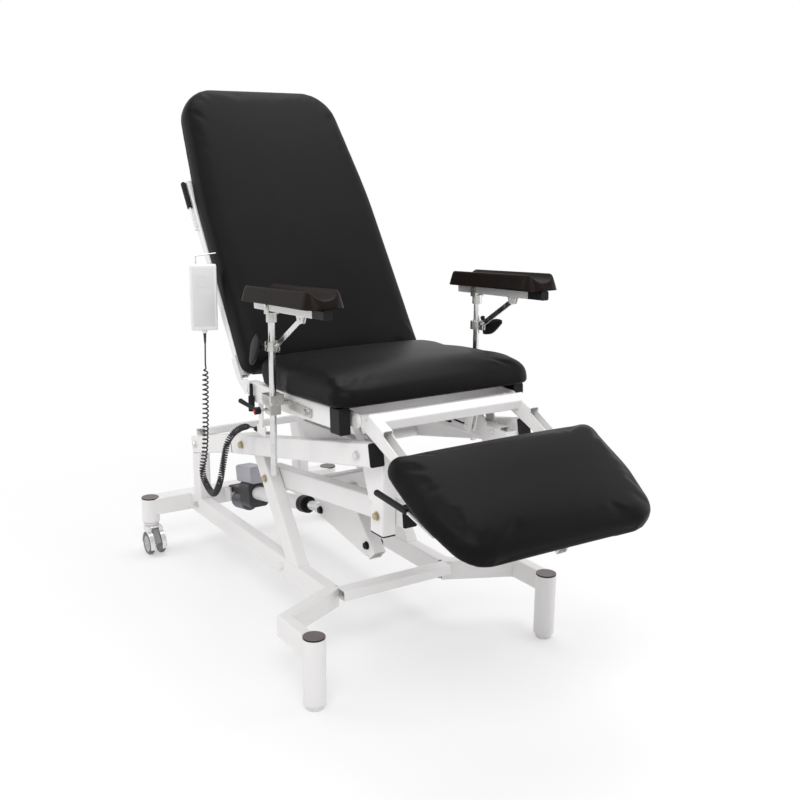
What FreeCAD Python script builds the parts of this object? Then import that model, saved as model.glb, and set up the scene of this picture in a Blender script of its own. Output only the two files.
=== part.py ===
"""Treatment chair for taking blood: steel base on two castors and two posts, four-bar lift
driven by one actuator, hinged back and leg rests, and two adjustable armrests.

Millimetres, Z up. The sitter faces -Y and X = 0 is the plane of symmetry. Places are drawn
from a line on the floor midway between the front posts and the castors, and each piece is
shifted once, as it is written, so that the origin is under the centre of the chair's box.
The pose is the photographed one.
"""
import FreeCAD
import Part
import math
import os

os.makedirs("parts", exist_ok=True)

# Shift along Y that puts the origin under the centre of the whole chair's box
origin_shift = 222.5

# General clearances and small sizes
air = 0.3
side_air = 0.6
fit = 0.1
overrun = 5.0
far = 2000.0
plate = 5.0
wall = 2.5
corner = 5.0
bolt_dia = 12.0
bolt_head = 20.0
bolt_head_high = 7.0
washer_dia = 24.0
washer_high = 2.0
plug_lip = 4.0
bolt_sides = 6
bolt_turn = (0.3, 0.5, 0.8)
small_bolt_share = 0.8

# Base: floor posts, side rails, cross members
post_dia = 60.0
post_cap = 4.0
post_cap_rim = 1.0
front_post_x = 381.0
front_post_y = -597.5
front_post_top = 194.0
foot_high = 14.0
foot_dia = 46.0
castor_post_x = 353.0
castor_post_low = 112.0
rail_x = 192.0
rail_wide = 40.0
rail_high = 60.0
rail_low = 137.0
rail_front = -352.0
beam_y = 642.0
beam_wide = 58.0
outrigger_wide = 35.0
outrigger_in_x = 183.5
outrigger_in_y = -351.5
outrigger_out_x = 388.0
outrigger_out_y = -449.0
front_bar_y = -382.0
front_bar_wide = 46.0
front_bar_past = 8.0
front_bar_high = 30.0

# Castors
wheel_dia = 78.0
wheel_wide = 18.0
wheel_apart = 22.0
castor_trail = 26.0
castor_stem = 40.0
fork_top = 100.0
fork_wall = 4.0
axle_dia = 8.0
wheel_hub = 30.0
pedal_wide = 22.0
pedal_long = 34.0
pedal_thick = 8.0
pedal_round = 2.0
stem_dia = 16.0
collar_ring = 34.0
collar_ring_high = 12.0

# Lift linkage, pins in the side view
pin_dia = 16.0
upper_rear_y = 90.0
upper_rear_z = 508.0
lower_rear_y = 15.0
lower_rear_z = 415.0
upper_front_y = -592.0
upper_front_z = 650.0
lower_front_y = -622.0
lower_front_z = 492.0
arm_wide = 40.0
arm_high = 60.0
arm_past_rear = 78.0
arm_past_front = 58.0
lower_past_rear = 48.0
lower_past_front = 55.0
upper_tie_dia = 32.0
upper_tie_share = 0.36
upper_tie_drop = 14.0

# Towers on the rails
column_y = 560.0
column_deep = 60.0
column_bolt_y = 563.0
stay_rear_y = 558.0
stay_rear_z = 387.0
stay_past_rear = 34.0
stay_past_front = 40.0
upright_foot_y = -148.0
upright_bolt_y = -84.0
rail_bolt_z = 169.0
tie_deep = 80.0
tie_high = 25.0
tie_back = 22.0
upright_over = 500.0

# Lever on the lower arms and the actuator in its plane
drive_x = -60.0
cross_y = -215.0
lever_wide = 40.0
lever_deep = 40.0
lever_end_y = -383.0
lever_end_z = 272.0
lever_bolt_share = 0.85
drive_front_y = -91.0
drive_front_z = 322.0
drive_rear_y = 572.0
drive_rear_z = 200.0
drive_pin = 12.0
drive_ear = 44.0
outer_tube = 45.0
inner_tube = 30.0
motor_dia = 62.0
gear_long = 78.0
gear_wide = 70.0
gear_high = 84.0
ring_long = 34.0
ring_dia = 54.0
rod_end_long = 52.0
drive_air = 3.0
box_long = 118.0
box_wide = 62.0
box_high = 58.0
box_round = 10.0
gear_start = 108.0
gear_drop = 6.0
motor_start = 14.0
motor_drop = 26.0
outer_tube_end = 520.0
bracket_high = 46.0
ear_round_share = 0.8
neck_share = 0.8
rear_ear_share = 2.4
# Domed end of the motor: distance from its axis and depth, as shares of its radius
motor_dome_shares = ((0.7, 0.0), (0.91, 0.09), (1.0, 0.3))
rod_end_share = 1.2
rod_block_share = 0.7

# Seat frame, built level and then tipped back about the front bottom edge of the cushion
seat_front_y = -605.0
seat_front_z = 769.0
seat_tip = 3.3
seat_half = 316.0
seat_long = 496.0
seat_thick = 74.0
seat_crown = 14.0
seat_front_share = 0.74
seat_round = 55.0
seat_rear_lean = 26.0
seat_rail_x = 275.0
seat_rail_wide = 30.0
seat_rail_high = 56.0
seat_rail_start = 82.0
seat_rail_end = 560.0
block_long = 46.0
block_high = 68.0
block_over = 2.0
front_cross = 108.0
rear_cross = 400.0
cross_wide = 40.0
cross_high = 40.0
drop_x = 192.0
drop_y = -620.0
drop_low = 445.0
carrier_rear_y = -222.0
carrier_rear_z = 628.0
carrier_x = 191.0
carrier_wide = 30.0
carrier_high = 44.0
lug_round = 20.0
lug_round_share = 0.95
carrier_front_y = -545.0
lever_arm = 70.0
spring_dia = 22.0
spring_rod = 10.0
spring_eye = 18.0
spring_eye_wide = 10.0
spring_neck = 50.0
fork_plate = 4.0
plate_half_share = 0.75
plate_round_share = 0.99

# Back rest
back_y = -75.0
back_z = 782.0
back_turn = 56.0
back_hinge_y = -60.0
back_hinge_z = 722.0
back_start = -8.0
back_end = 960.0
back_thick = 66.0
back_crown = 16.0
back_low_half = 306.0
back_mid_half = 301.0
back_mid = 560.0
back_top_half = 264.0
back_low_round = 40.0
back_mid_round = 1500.0
back_top_round = 122.0
back_bar_x = 280.0
back_bar_wide = 30.0
back_bar_high = 28.0
back_bar_start = 6.0
back_bar_end = 650.0
back_lug_round = 17.0
back_cross_shares = (0.28, 0.96)

# Leg rest
leg_hinge_y = -577.0
leg_hinge_z = 732.0
leg_lug_x = 245.5
leg_turn = 28.0
leg_pad_y = -807.0
leg_pad_z = 724.0
leg_pad_long = 360.0
leg_pad_half = 318.0
leg_pad_mid = 190.0
leg_pad_front_half = 280.0
leg_pad_round = 45.0
leg_pad_front_round = 86.0
leg_pad_side_round = 300.0
leg_pad_thick = 56.0
leg_pad_crown = 12.0
leg_arm_turn = 21.5
leg_arm_x = 227.0
leg_arm_wide = 29.0
leg_arm_high = 52.0
leg_arm_long = 245.0
leg_arm_lift = 18.0
leg_pivot_dia = 32.0
leg_cross_at = 54.0
leg_relief_ahead = 38.0
leg_relief_lift = 20.0
leg_cross_wide = 36.0
leg_cross_high = 30.0
leg_sweep = 70.0
leg_runner_start = 20.0
leg_runner_end = 262.0
leg_runner_size = 25.0
leg_slide_size = 30.0
leg_slide_end = 318.0
leg_slide_start = 190.0
leg_slide_x = 30.0
leg_slide_out = -88.0
leg_release_along = 215.0
leg_release_x = 280.0
leg_grip_front_y = -857.0
leg_grip_front_z = 588.0
leg_grip_rear_y = -731.0
leg_grip_rear_z = 596.5
leg_low = -30.0
leg_high = 0.0
leg_spring_x = 120.0
leg_spring_y = -300.0
leg_spring_z = 668.0
leg_spring_body = 170.0
leg_spring_inside = 90.0

back_low = -15.0
back_high = 56.0
back_spring_x = 60.0
back_spring_y = -330.0
back_spring_z = 655.0
back_spring_body = 178.0
back_spring_inside = 52.0
back_shaft = 20.0
back_release_along = 490.0
release_rod = 8.0
release_grip = 16.0
release_grip_long = 82.0
release_rise = 74.0
stop_y = -88.0
stop_top = 738.0
stop_mid = 702.0
stop_low = 659.0
stop_dia = 10.0
stop_end_dia = 18.0

# Armrests
arm_post_x = 334.0
arm_post_y = -295.0
arm_post_dia = 18.0
arm_post_low = 532.0
arm_post_top = 968.0
arm_tilt_z = 990.0
arm_tilt = 3.1
arm_tube_size = 25.0
arm_tube_rear = 77.0
arm_tube_front = 244.0
arm_end_long = 57.0
collar_z = 884.0
collar_dia = 36.0
collar_high = 24.0
brace_front_y = -460.0
brace_wide = 15.0
brace_thick = 4.0
brace_ear_share = 0.8
collar_round = 4.0
pad_half = 57.0
pad_rear = 80.0
pad_front = 310.0
pad_thick = 34.0
pad_dish = 16.0
pad_base_half = 38.0
head_dia = 28.0
head_high = 26.0
head_fork = 3.0
head_ear = 22.0
arm_bolt = 8.0
arm_cap_share = 1.8
head_round_share = 0.45
brace_low_y = -324.0
brace_low_z = 889.0
brace_drop = 22.0
knob_stem = 8.0
knob_dia = 14.0
knob_long = 34.0
clamp_z = 737.0
clamp_wide = 44.0
clamp_long = 50.0
clamp_high = 18.0
jaw_wide = 30.0
jaw_long = 34.0
jaw_high = 28.0
carrier_plate = 8.0
carrier_bar = 6.0
carrier_bar_high = 22.0
carrier_bar_front = -432.0
carrier_bar_rear = -262.0
lever_out = 380.0
lever_hub = 20.0
lever_hub_wide = 14.0
lever_rear = 74.0
lever_tip = 13.0
button_dia = 9.0

# Handset on the left side of the back rest and its curly cord
handset_x = -346.0
handset_y = 122.0
handset_z = 956.0
handset_wide = 78.0
handset_thick = 27.0
handset_high = 200.0
handset_turn = 70.0
handset_round = 8.0
handset_panel_wide = 48.0
handset_panel_high = 150.0
handset_panel_deep = 1.2
rocker_wide = 40.0
rocker_high = 34.0
rocker_up = 52.0
rocker_gap = 0.9
hook_wire = 4.0
hook_up = 24.0
hook_end_x = 301.5
sleeve_dia = 9.0
sleeve_long = 26.0
neck_over_share = 1.3
cord_dia = 20.0
cord_bend_share = 0.45
strap_x = -275.0
strap_y = -98.0
strap_low = 588.0
strap_wide = 24.0
strap_thick = 4.0
tab_wide = 60.0
tab_high = 26.0
tab_rear = 25.0
gland_dia = 14.0
gland_long = 12.0
# Middle line of the cord from the handset to the gland on the seat frame
cord_route = ((-346.0, 122.0, 820.8), (-346.0, 126.0, 761.0), (-347.0, 134.0, 605.0), (-336.0, 174.0, 476.0),
              (-351.0, 176.0, 412.0), (-346.0, 128.0, 367.0), (-356.0, 61.0, 374.0), (-354.0, 24.0, 424.0),
              (-339.0, 32.0, 480.0), (-312.0, 54.0, 551.0), (-275.0, 2.0, 597.0), (-275.0, -60.4, 597.0))

X = FreeCAD.Vector(1, 0, 0)
Y = FreeCAD.Vector(0, 1, 0)
Z = FreeCAD.Vector(0, 0, 1)
origin = FreeCAD.Vector(0, 0, 0)


def V(x, y, z):
    return FreeCAD.Vector(x, y, z)


def save(name, *solids):
    """Write one sub-part; several separate solids become one group."""
    shape = solids[0] if len(solids) == 1 else Part.makeCompound(list(solids))
    shape.translate(V(0, origin_shift, 0))
    shape.exportStep("parts/%s.step" % name)


def box(x0, x1, y0, y1, z0, z1):
    low = V(min(x0, x1), min(y0, y1), min(z0, z1))
    return Part.makeBox(abs(x1 - x0), abs(y1 - y0), abs(z1 - z0), low)


def rod(a, b, dia, bore=0.0):
    """Round bar from a to b, hollow where a bore is given."""
    along = b - a
    solid = Part.makeCylinder(dia / 2, along.Length, a, along)
    if bore:
        solid = solid.cut(Part.makeCylinder(bore / 2, along.Length, a, along))
    return solid


def outline(points, radius):
    """Closed wire through the points with every corner rounded by its radius."""
    count = len(points)
    radii = radius if isinstance(radius, (list, tuple)) else [radius] * count
    joints = []
    for i, point in enumerate(points):
        back = (points[i - 1] - point).normalize()
        ahead = (points[(i + 1) % count] - point).normalize()
        r = radii[i]
        if not r:
            joints.append((point, None, point))
            continue
        half = back.getAngle(ahead) / 2
        reach = r / math.tan(half)
        inward = (back + ahead).normalize()
        centre = point + inward * (r / math.sin(half))
        joints.append((point + back * reach, centre - inward * r, point + ahead * reach))
    edges = []
    for i, (start, middle, end) in enumerate(joints):
        if middle:
            edges.append(Part.Arc(start, middle, end).toShape())
        following = joints[(i + 1) % count][0]
        if (following - end).Length > 1e-6:
            edges.append(Part.LineSegment(end, following).toShape())
    return Part.Wire(edges)


def prism(points, radius, along):
    return Part.Face(outline(points, radius)).extrude(along)


def side_plate(shape_yz, radius, x, thick):
    """Plate square to X, drawn in the side view and centred on x."""
    return prism([V(x - thick / 2, y, z) for y, z in shape_yz], radius, V(thick, 0, 0))


def tube(a, b, across, deep, side=X, wall_thick=wall, radius=corner):
    """Rectangular tube from a to b: `across` is measured along `side`, `deep` square to it."""
    along = b - a
    ahead = V(along.x, along.y, along.z).normalize()
    flat = (side - ahead * side.dot(ahead)).normalize()
    lift = ahead.cross(flat)

    def ring(w, h, r):
        return [a + flat * (i * w / 2) + lift * (j * h / 2)
                for i, j in ((-1, -1), (1, -1), (1, 1), (-1, 1))], r

    points, r = ring(across, deep, radius)
    solid = prism(points, r, along)
    if wall_thick:
        points, r = ring(across - 2 * wall_thick, deep - 2 * wall_thick, 0)
        solid = solid.cut(prism(points, r, along))
    return solid


def trim(shape, at, away):
    """Cut off everything on the side of the plane that `away` points to."""
    block = Part.makeBox(far, far, far, V(-far / 2, -far / 2, 0))
    turn = FreeCAD.Rotation(Z, away)
    block.Placement = FreeCAD.Placement(at, turn)
    return shape.cut(block)


def fuse(*shapes):
    joined = shapes[0].fuse(list(shapes[1:]))
    return joined.removeSplitter()


def mirrored(shape):
    return shape.mirror(origin, X)


def placed(shape, y, z, turn):
    """Lay a shape built on the XY plane at (y, z), tipped about X."""
    copy = shape.copy()
    copy.Placement = FreeCAD.Placement(V(0, y, z), FreeCAD.Rotation(X, turn)).multiply(copy.Placement)
    return copy


def spot(x, along, out, y, z, turn):
    """World point of a place given in a tipped frame."""
    return FreeCAD.Placement(V(0, y, z), FreeCAD.Rotation(X, turn)).multVec(V(x, along, out))


def bolt(at, out, dia=bolt_head, high=bolt_head_high):
    """Hexagon head on a washer, standing off the face at `at` in the direction `out`."""
    washer = Part.makeCylinder(washer_dia / 2 * dia / bolt_head, washer_high, at, out)
    flat = out.cross(V(*bolt_turn)).normalize()
    start = at + out * washer_high
    points = [start + FreeCAD.Rotation(out, 360 * k / bolt_sides).multVec(flat * (dia / 2))
              for k in range(bolt_sides)]
    return washer.fuse(prism(points, 0, out * high)).removeSplitter()


def plug(at, out, across, deep, side=X):
    """End plug of a rectangular tube: a lip on the end face."""
    ahead = V(out.x, out.y, out.z).normalize()
    return tube(at, at + ahead * plug_lip, across, deep, side, 0, corner)


rail_mid = rail_low + rail_high / 2
rail_top = rail_low + rail_high
pin_d = V(0, upper_rear_y, upper_rear_z)
pin_e = V(0, lower_rear_y, lower_rear_z)
pin_f = V(0, upper_front_y, upper_front_z)
pin_i = V(0, lower_front_y, lower_front_z)
upper_ahead = (pin_f - pin_d).normalize()
lower_ahead = (pin_i - pin_e).normalize()
upper_x = rail_x + rail_wide / 2 + side_air + arm_wide / 2
lower_x = rail_x - rail_wide / 2 - side_air - arm_wide / 2


def at_x(point, x):
    return V(x, point.y, point.z)


def base_frame():
    """Side rails, front cross bar and the cranked outriggers, welded into one."""
    parts = []
    for s in (-1, 1):
        rail = tube(V(s * rail_x, beam_y - beam_wide / 2, rail_mid), V(s * rail_x, rail_front, rail_mid),
                    rail_wide, rail_high)
        inner = V(s * outrigger_in_x, outrigger_in_y, rail_mid)
        bend = V(s * outrigger_out_x, outrigger_out_y, rail_mid)
        end = V(s * outrigger_out_x, front_post_y, rail_mid)
        ahead = (bend - inner).normalize()
        mitre = (ahead + (end - bend).normalize()).normalize()
        slant = tube(inner, bend + ahead * outrigger_wide, outrigger_wide, rail_high, ahead.cross(Z))
        straight = tube(bend + Y * outrigger_wide, end, outrigger_wide, rail_high)
        slant = trim(slant, bend, mitre)
        straight = trim(straight, bend, V(-mitre.x, -mitre.y, 0))
        parts += [rail, slant, straight]
    bar_end = rail_x - rail_wide / 2 + front_bar_past
    bar = tube(V(-bar_end, front_bar_y, rail_top - front_bar_high / 2),
               V(bar_end, front_bar_y, rail_top - front_bar_high / 2),
               front_bar_wide, front_bar_high, Y)
    frame = fuse(bar, *parts)
    for s in (-1, 1):
        frame = frame.cut(Part.makeCylinder(post_dia / 2, far, V(s * front_post_x, front_post_y, -far / 2)))
    return frame


def rear_beam():
    """Rear beam with the castor tubes at its ends."""
    beam = tube(V(-castor_post_x, beam_y, rail_mid), V(castor_post_x, beam_y, rail_mid), beam_wide, rail_high,
                Y)
    parts = []
    for s in (-1, 1):
        at = V(s * castor_post_x, beam_y, castor_post_low)
        beam = beam.cut(Part.makeCylinder(post_dia / 2, far, V(at.x, at.y, -far / 2)))
        parts.append(rod(at, V(at.x, at.y, front_post_top), post_dia, post_dia - 2 * wall))
        parts.append(rod(at, at + Z * castor_stem, post_dia - 2 * wall, stem_dia + 2 * fit))
    return fuse(beam, *parts)


def front_leg(s):
    """Floor post with a shallow foot turned in its end."""
    low = V(s * front_post_x, front_post_y, foot_high)
    top = V(s * front_post_x, front_post_y, front_post_top)
    post = rod(low, top, post_dia, post_dia - 2 * wall)
    foot = rod(V(low.x, low.y, 0), low, foot_dia)
    seat = rod(low, low + Z * plate, post_dia - 2 * wall)
    return fuse(post, seat, foot)


def base_caps():
    """Black caps on the four posts."""
    caps = []
    for s in (-1, 1):
        for x, y in ((front_post_x, front_post_y), (castor_post_x, beam_y)):
            low = V(s * x, y, front_post_top)
            cap = rod(low, low + Z * post_cap, post_dia - 2 * post_cap_rim)
            caps.append(cap)
    return caps


def tower(s):
    """Column, sloping stay and leaning upright of one side, welded into one."""
    x = s * rail_x
    rear = V(x, stay_rear_y, stay_rear_z)
    front = at_x(pin_d, x)
    ahead = (front - rear).normalize()
    over = ahead.cross(X) if ahead.cross(X).z > 0 else X.cross(ahead)
    stay = tube(rear - ahead * stay_past_rear, front + ahead * stay_past_front, rail_wide, arm_high)
    column = tube(V(x, column_y, rail_top), V(x, column_y, stay_rear_z), rail_wide, column_deep)
    column = trim(column, rear - over * (arm_high / 2), over)
    foot = V(x, upright_foot_y, rail_top)
    lean = (at_x(pin_e, x) - foot).normalize()
    upright = tube(foot - lean * arm_high, foot + lean * upright_over, rail_wide, arm_high)
    upright = trim(upright, foot, -Z)
    upright = trim(upright, front - over * (arm_high / 2), over)
    frame = fuse(stay, column, upright)
    for pin in (pin_d, pin_e):
        bore = pin_dia + 2 * air
        boss = rod(V(x - rail_wide / 2, pin.y, pin.z), V(x + rail_wide / 2, pin.y, pin.z),
                   pin_dia + 2 * plate)
        frame = frame.fuse(boss)
        frame = frame.cut(rod(V(x - rail_wide, pin.y, pin.z), V(x + rail_wide, pin.y, pin.z), bore))
    return frame.removeSplitter()


def stay_point(y):
    """Point on the top face of the stays at a given y, and the direction square to that face."""
    rear = V(0, stay_rear_y, stay_rear_z)
    ahead = (pin_d - rear).normalize()
    over = X.cross(ahead)
    over = over if over.z > 0 else -over
    k = (rear.y - y) / -ahead.y
    return rear + ahead * k + over * (arm_high / 2), over


def tower_tie():
    """Flat tube across the tops of the two stays."""
    at, over = stay_point(stay_rear_y - tie_back - tie_deep / 2)
    mid = at + over * (tie_high / 2)
    half = rail_x + rail_wide / 2
    return tube(at_x(mid, -half), at_x(mid, half), tie_high, tie_deep, over)


def upper_arms():
    """Upper arms of the lift with the round tie tube between them."""
    parts = []
    for s in (-1, 1):
        a = at_x(pin_d - upper_ahead * arm_past_rear, s * upper_x)
        b = at_x(pin_f + upper_ahead * arm_past_front, s * upper_x)
        parts.append(tube(a, b, arm_wide, arm_high))
    at = pin_d + (pin_f - pin_d) * upper_tie_share + X.cross(upper_ahead) * upper_tie_drop
    half = upper_x - arm_wide / 2
    parts.append(rod(at_x(at, -half - wall), at_x(at, half + wall), upper_tie_dia, upper_tie_dia - 2 * wall))
    frame = fuse(*parts)
    for pin in (pin_d, pin_f):
        for s in (-1, 1):
            a = V(s * (upper_x - arm_wide / 2), pin.y, pin.z)
            b = V(s * (upper_x + arm_wide / 2), pin.y, pin.z)
            frame = frame.fuse(rod(a, b, pin_dia + 2 * plate)).cut(rod(a - X * far, a + X * far, pin_dia))
    return frame.removeSplitter()


def lower_cross():
    """Centre of the cross tube between the lower arms."""
    k = (lower_rear_y - cross_y) / -lower_ahead.y
    return pin_e + lower_ahead * k


def lower_arms():
    """Lower arms, their cross tube and the drive lever with its gusset plates."""
    parts = []
    for s in (-1, 1):
        a = at_x(pin_e - lower_ahead * lower_past_rear, s * lower_x)
        b = at_x(pin_i + lower_ahead * lower_past_front, s * lower_x)
        parts.append(tube(a, b, arm_wide, arm_high))
    centre = lower_cross()
    half = lower_x - arm_wide / 2
    parts.append(tube(at_x(centre, -half), at_x(centre, half), arm_high, lever_deep,
                      V(0, lower_ahead.z, -lower_ahead.y)))
    end = V(drive_x, lever_end_y, lever_end_z)
    start = at_x(centre, drive_x)
    ahead = (end - start).normalize()
    lever = tube(start + ahead * lever_deep / 2, end, lever_wide, lever_deep)
    parts.append(lever)
    drive = V(drive_x, drive_front_y, drive_front_z)
    rear = (start.y + lever_deep / 2, start.z - arm_high / 4)
    tip = end - ahead * plate
    flat = V(0, -ahead.z, ahead.y)
    flat = flat if flat.y > 0 else -flat
    edge = tip + flat * (lever_deep / 2)
    shape = [rear, (drive.y + pin_dia, drive.z + pin_dia), (drive.y + pin_dia, drive.z - pin_dia),
             (edge.y, edge.z), (start.y - plate, start.z)]
    for k in (-1, 1):
        parts.append(side_plate(shape, [0, pin_dia / 2, pin_dia / 2, plate, 0],
                                drive_x + k * (lever_wide - plate) / 2, plate))
    frame = fuse(*parts)
    for pin in (pin_e, pin_i):
        for s in (-1, 1):
            a = V(s * (lower_x - arm_wide / 2), pin.y, pin.z)
            b = V(s * (lower_x + arm_wide / 2), pin.y, pin.z)
            play = 0.0 if pin is pin_e else 2 * drive_air
            frame = frame.fuse(rod(a, b, pin_dia + 2 * plate + play)).cut(rod(a, b, pin_dia + play))
    return frame.removeSplitter()


def seat_spot(x, along, out):
    return spot(x, along, out, seat_front_y, seat_front_z, -seat_tip)


def back_spot(x, along, out):
    return spot(x, along, out, back_y, back_z, back_turn)


def leg_spot(x, along, out):
    return spot(x, along, out, leg_pad_y, leg_pad_z, leg_turn)


def inset(points, distance):
    """Outline points moved inwards; they run anticlockwise seen from above."""
    moved = []
    for i, point in enumerate(points):
        before = Z.cross(point - points[i - 1]).normalize()
        after = Z.cross(points[(i + 1) % len(points)] - point).normalize()
        moved.append(point + (before + after) * (distance / (1 + before.dot(after))))
    return moved


# Side of an upholstered cushion: inset as a share of its edge round, height of its thickness
cushion_side_shares = ((0.6, 0.0), (0.15, 0.12), (0.0, 0.36), (0.06, 0.66), (0.32, 0.86), (0.85, 0.97))
# Its crown: inset as a share of its half width, height of its crown
cushion_crown_shares = ((0.10, 0.32), (0.22, 0.66), (0.42, 0.92), (0.66, 1.0))
cushion_edge = 15.0
least_round_share = 0.35


def cushion(points, radii, thick, crown, lean=0.0, front_share=1.0):
    """Padded board on the XY plane: tucked in below, drawn in at the sides and crowned."""
    half = max(p.x for p in points)
    longest = max(abs(p.y) for p in points)
    layers = [(i * cushion_edge, h * thick) for i, h in cushion_side_shares]
    layers += [(i * half, thick + h * crown) for i, h in cushion_crown_shares]
    wires = []
    for distance, height in layers:
        level = []
        for p in inset(points, distance):
            share = front_share + (1 - front_share) * p.y / longest
            level.append(V(p.x, p.y + lean * height / thick * p.y / longest, height * share))
        wires.append(outline(level, [max(r - distance, r * least_round_share) for r in radii]))
    return Part.makeLoft(wires, True, True)


def seat_cushion():
    """Seat cushion, lower towards the front edge."""
    points = [V(-seat_half, 0, 0), V(seat_half, 0, 0), V(seat_half, seat_long, 0),
              V(-seat_half, seat_long, 0)]
    pad = cushion(points, [seat_round] * 4, seat_thick, seat_crown, seat_rear_lean, seat_front_share)
    return placed(pad, seat_front_y, seat_front_z, -seat_tip)


def back_cushion():
    """Back cushion, narrower towards its rounded top."""
    points = [V(-back_low_half, back_start, 0), V(back_low_half, back_start, 0),
              V(back_mid_half, back_mid, 0), V(back_top_half, back_end, 0),
              V(-back_top_half, back_end, 0), V(-back_mid_half, back_mid, 0)]
    radii = [back_low_round, back_low_round, back_mid_round, back_top_round, back_top_round, back_mid_round]
    pad = cushion(points, radii, back_thick, back_crown)
    pad.translate(V(0, 0, -back_thick))
    return placed(pad, back_y, back_z, back_turn)


def leg_cushion():
    """Leg cushion, narrower towards its rounded front."""
    points = [V(-leg_pad_front_half, -leg_pad_long, 0), V(leg_pad_front_half, -leg_pad_long, 0),
              V(leg_pad_half, -leg_pad_mid, 0), V(leg_pad_half, 0, 0),
              V(-leg_pad_half, 0, 0), V(-leg_pad_half, -leg_pad_mid, 0)]
    radii = [leg_pad_front_round, leg_pad_front_round, leg_pad_side_round, leg_pad_round, leg_pad_round,
             leg_pad_side_round]
    pad = cushion(points, radii, leg_pad_thick, leg_pad_crown)
    pad.translate(V(0, 0, -leg_pad_thick))
    return placed(pad, leg_pad_y, leg_pad_z, leg_turn)


leg_pin = V(0, leg_hinge_y, leg_hinge_z)
back_pin = V(0, back_hinge_y, back_hinge_z)


def crank(pin, low, high, sense):
    """Crank pin under a hinge, straight below it at the middle of the travel."""
    turn = math.radians((low + high) / 2) * sense
    return pin + V(0, -lever_arm * math.sin(turn), -lever_arm * math.cos(turn))


leg_crank = crank(leg_pin, leg_low, leg_high, 1)
back_crank = crank(back_pin, back_low, back_high, -1)


def crank_plates(pin, end, x, eye_wide):
    """Pair of plates from a hinge tube down to a crank pin, with bolt heads outside."""
    plates = []
    away = (end - pin).normalize()
    flat = X.cross(away)
    r = spring_eye * plate_half_share
    rounding = r * plate_round_share
    shape = [pin + flat * r, end + flat * r + away * r, end - flat * r + away * r, pin - flat * r]
    for k in (-1, 1):
        place = x + k * (eye_wide / 2 + air + fork_plate / 2)
        plates.append(side_plate([(p.y, p.z) for p in shape], [0, rounding, rounding, 0], place, fork_plate))
        head = at_x(end, place + k * fork_plate / 2)
        plates.append(rod(head, head + X * (k * fork_plate), bolt_dia))
    return plates


spring_pins = ((back_spring_y, back_spring_z, back_spring_x), (leg_spring_y, leg_spring_z, leg_spring_x))


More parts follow.
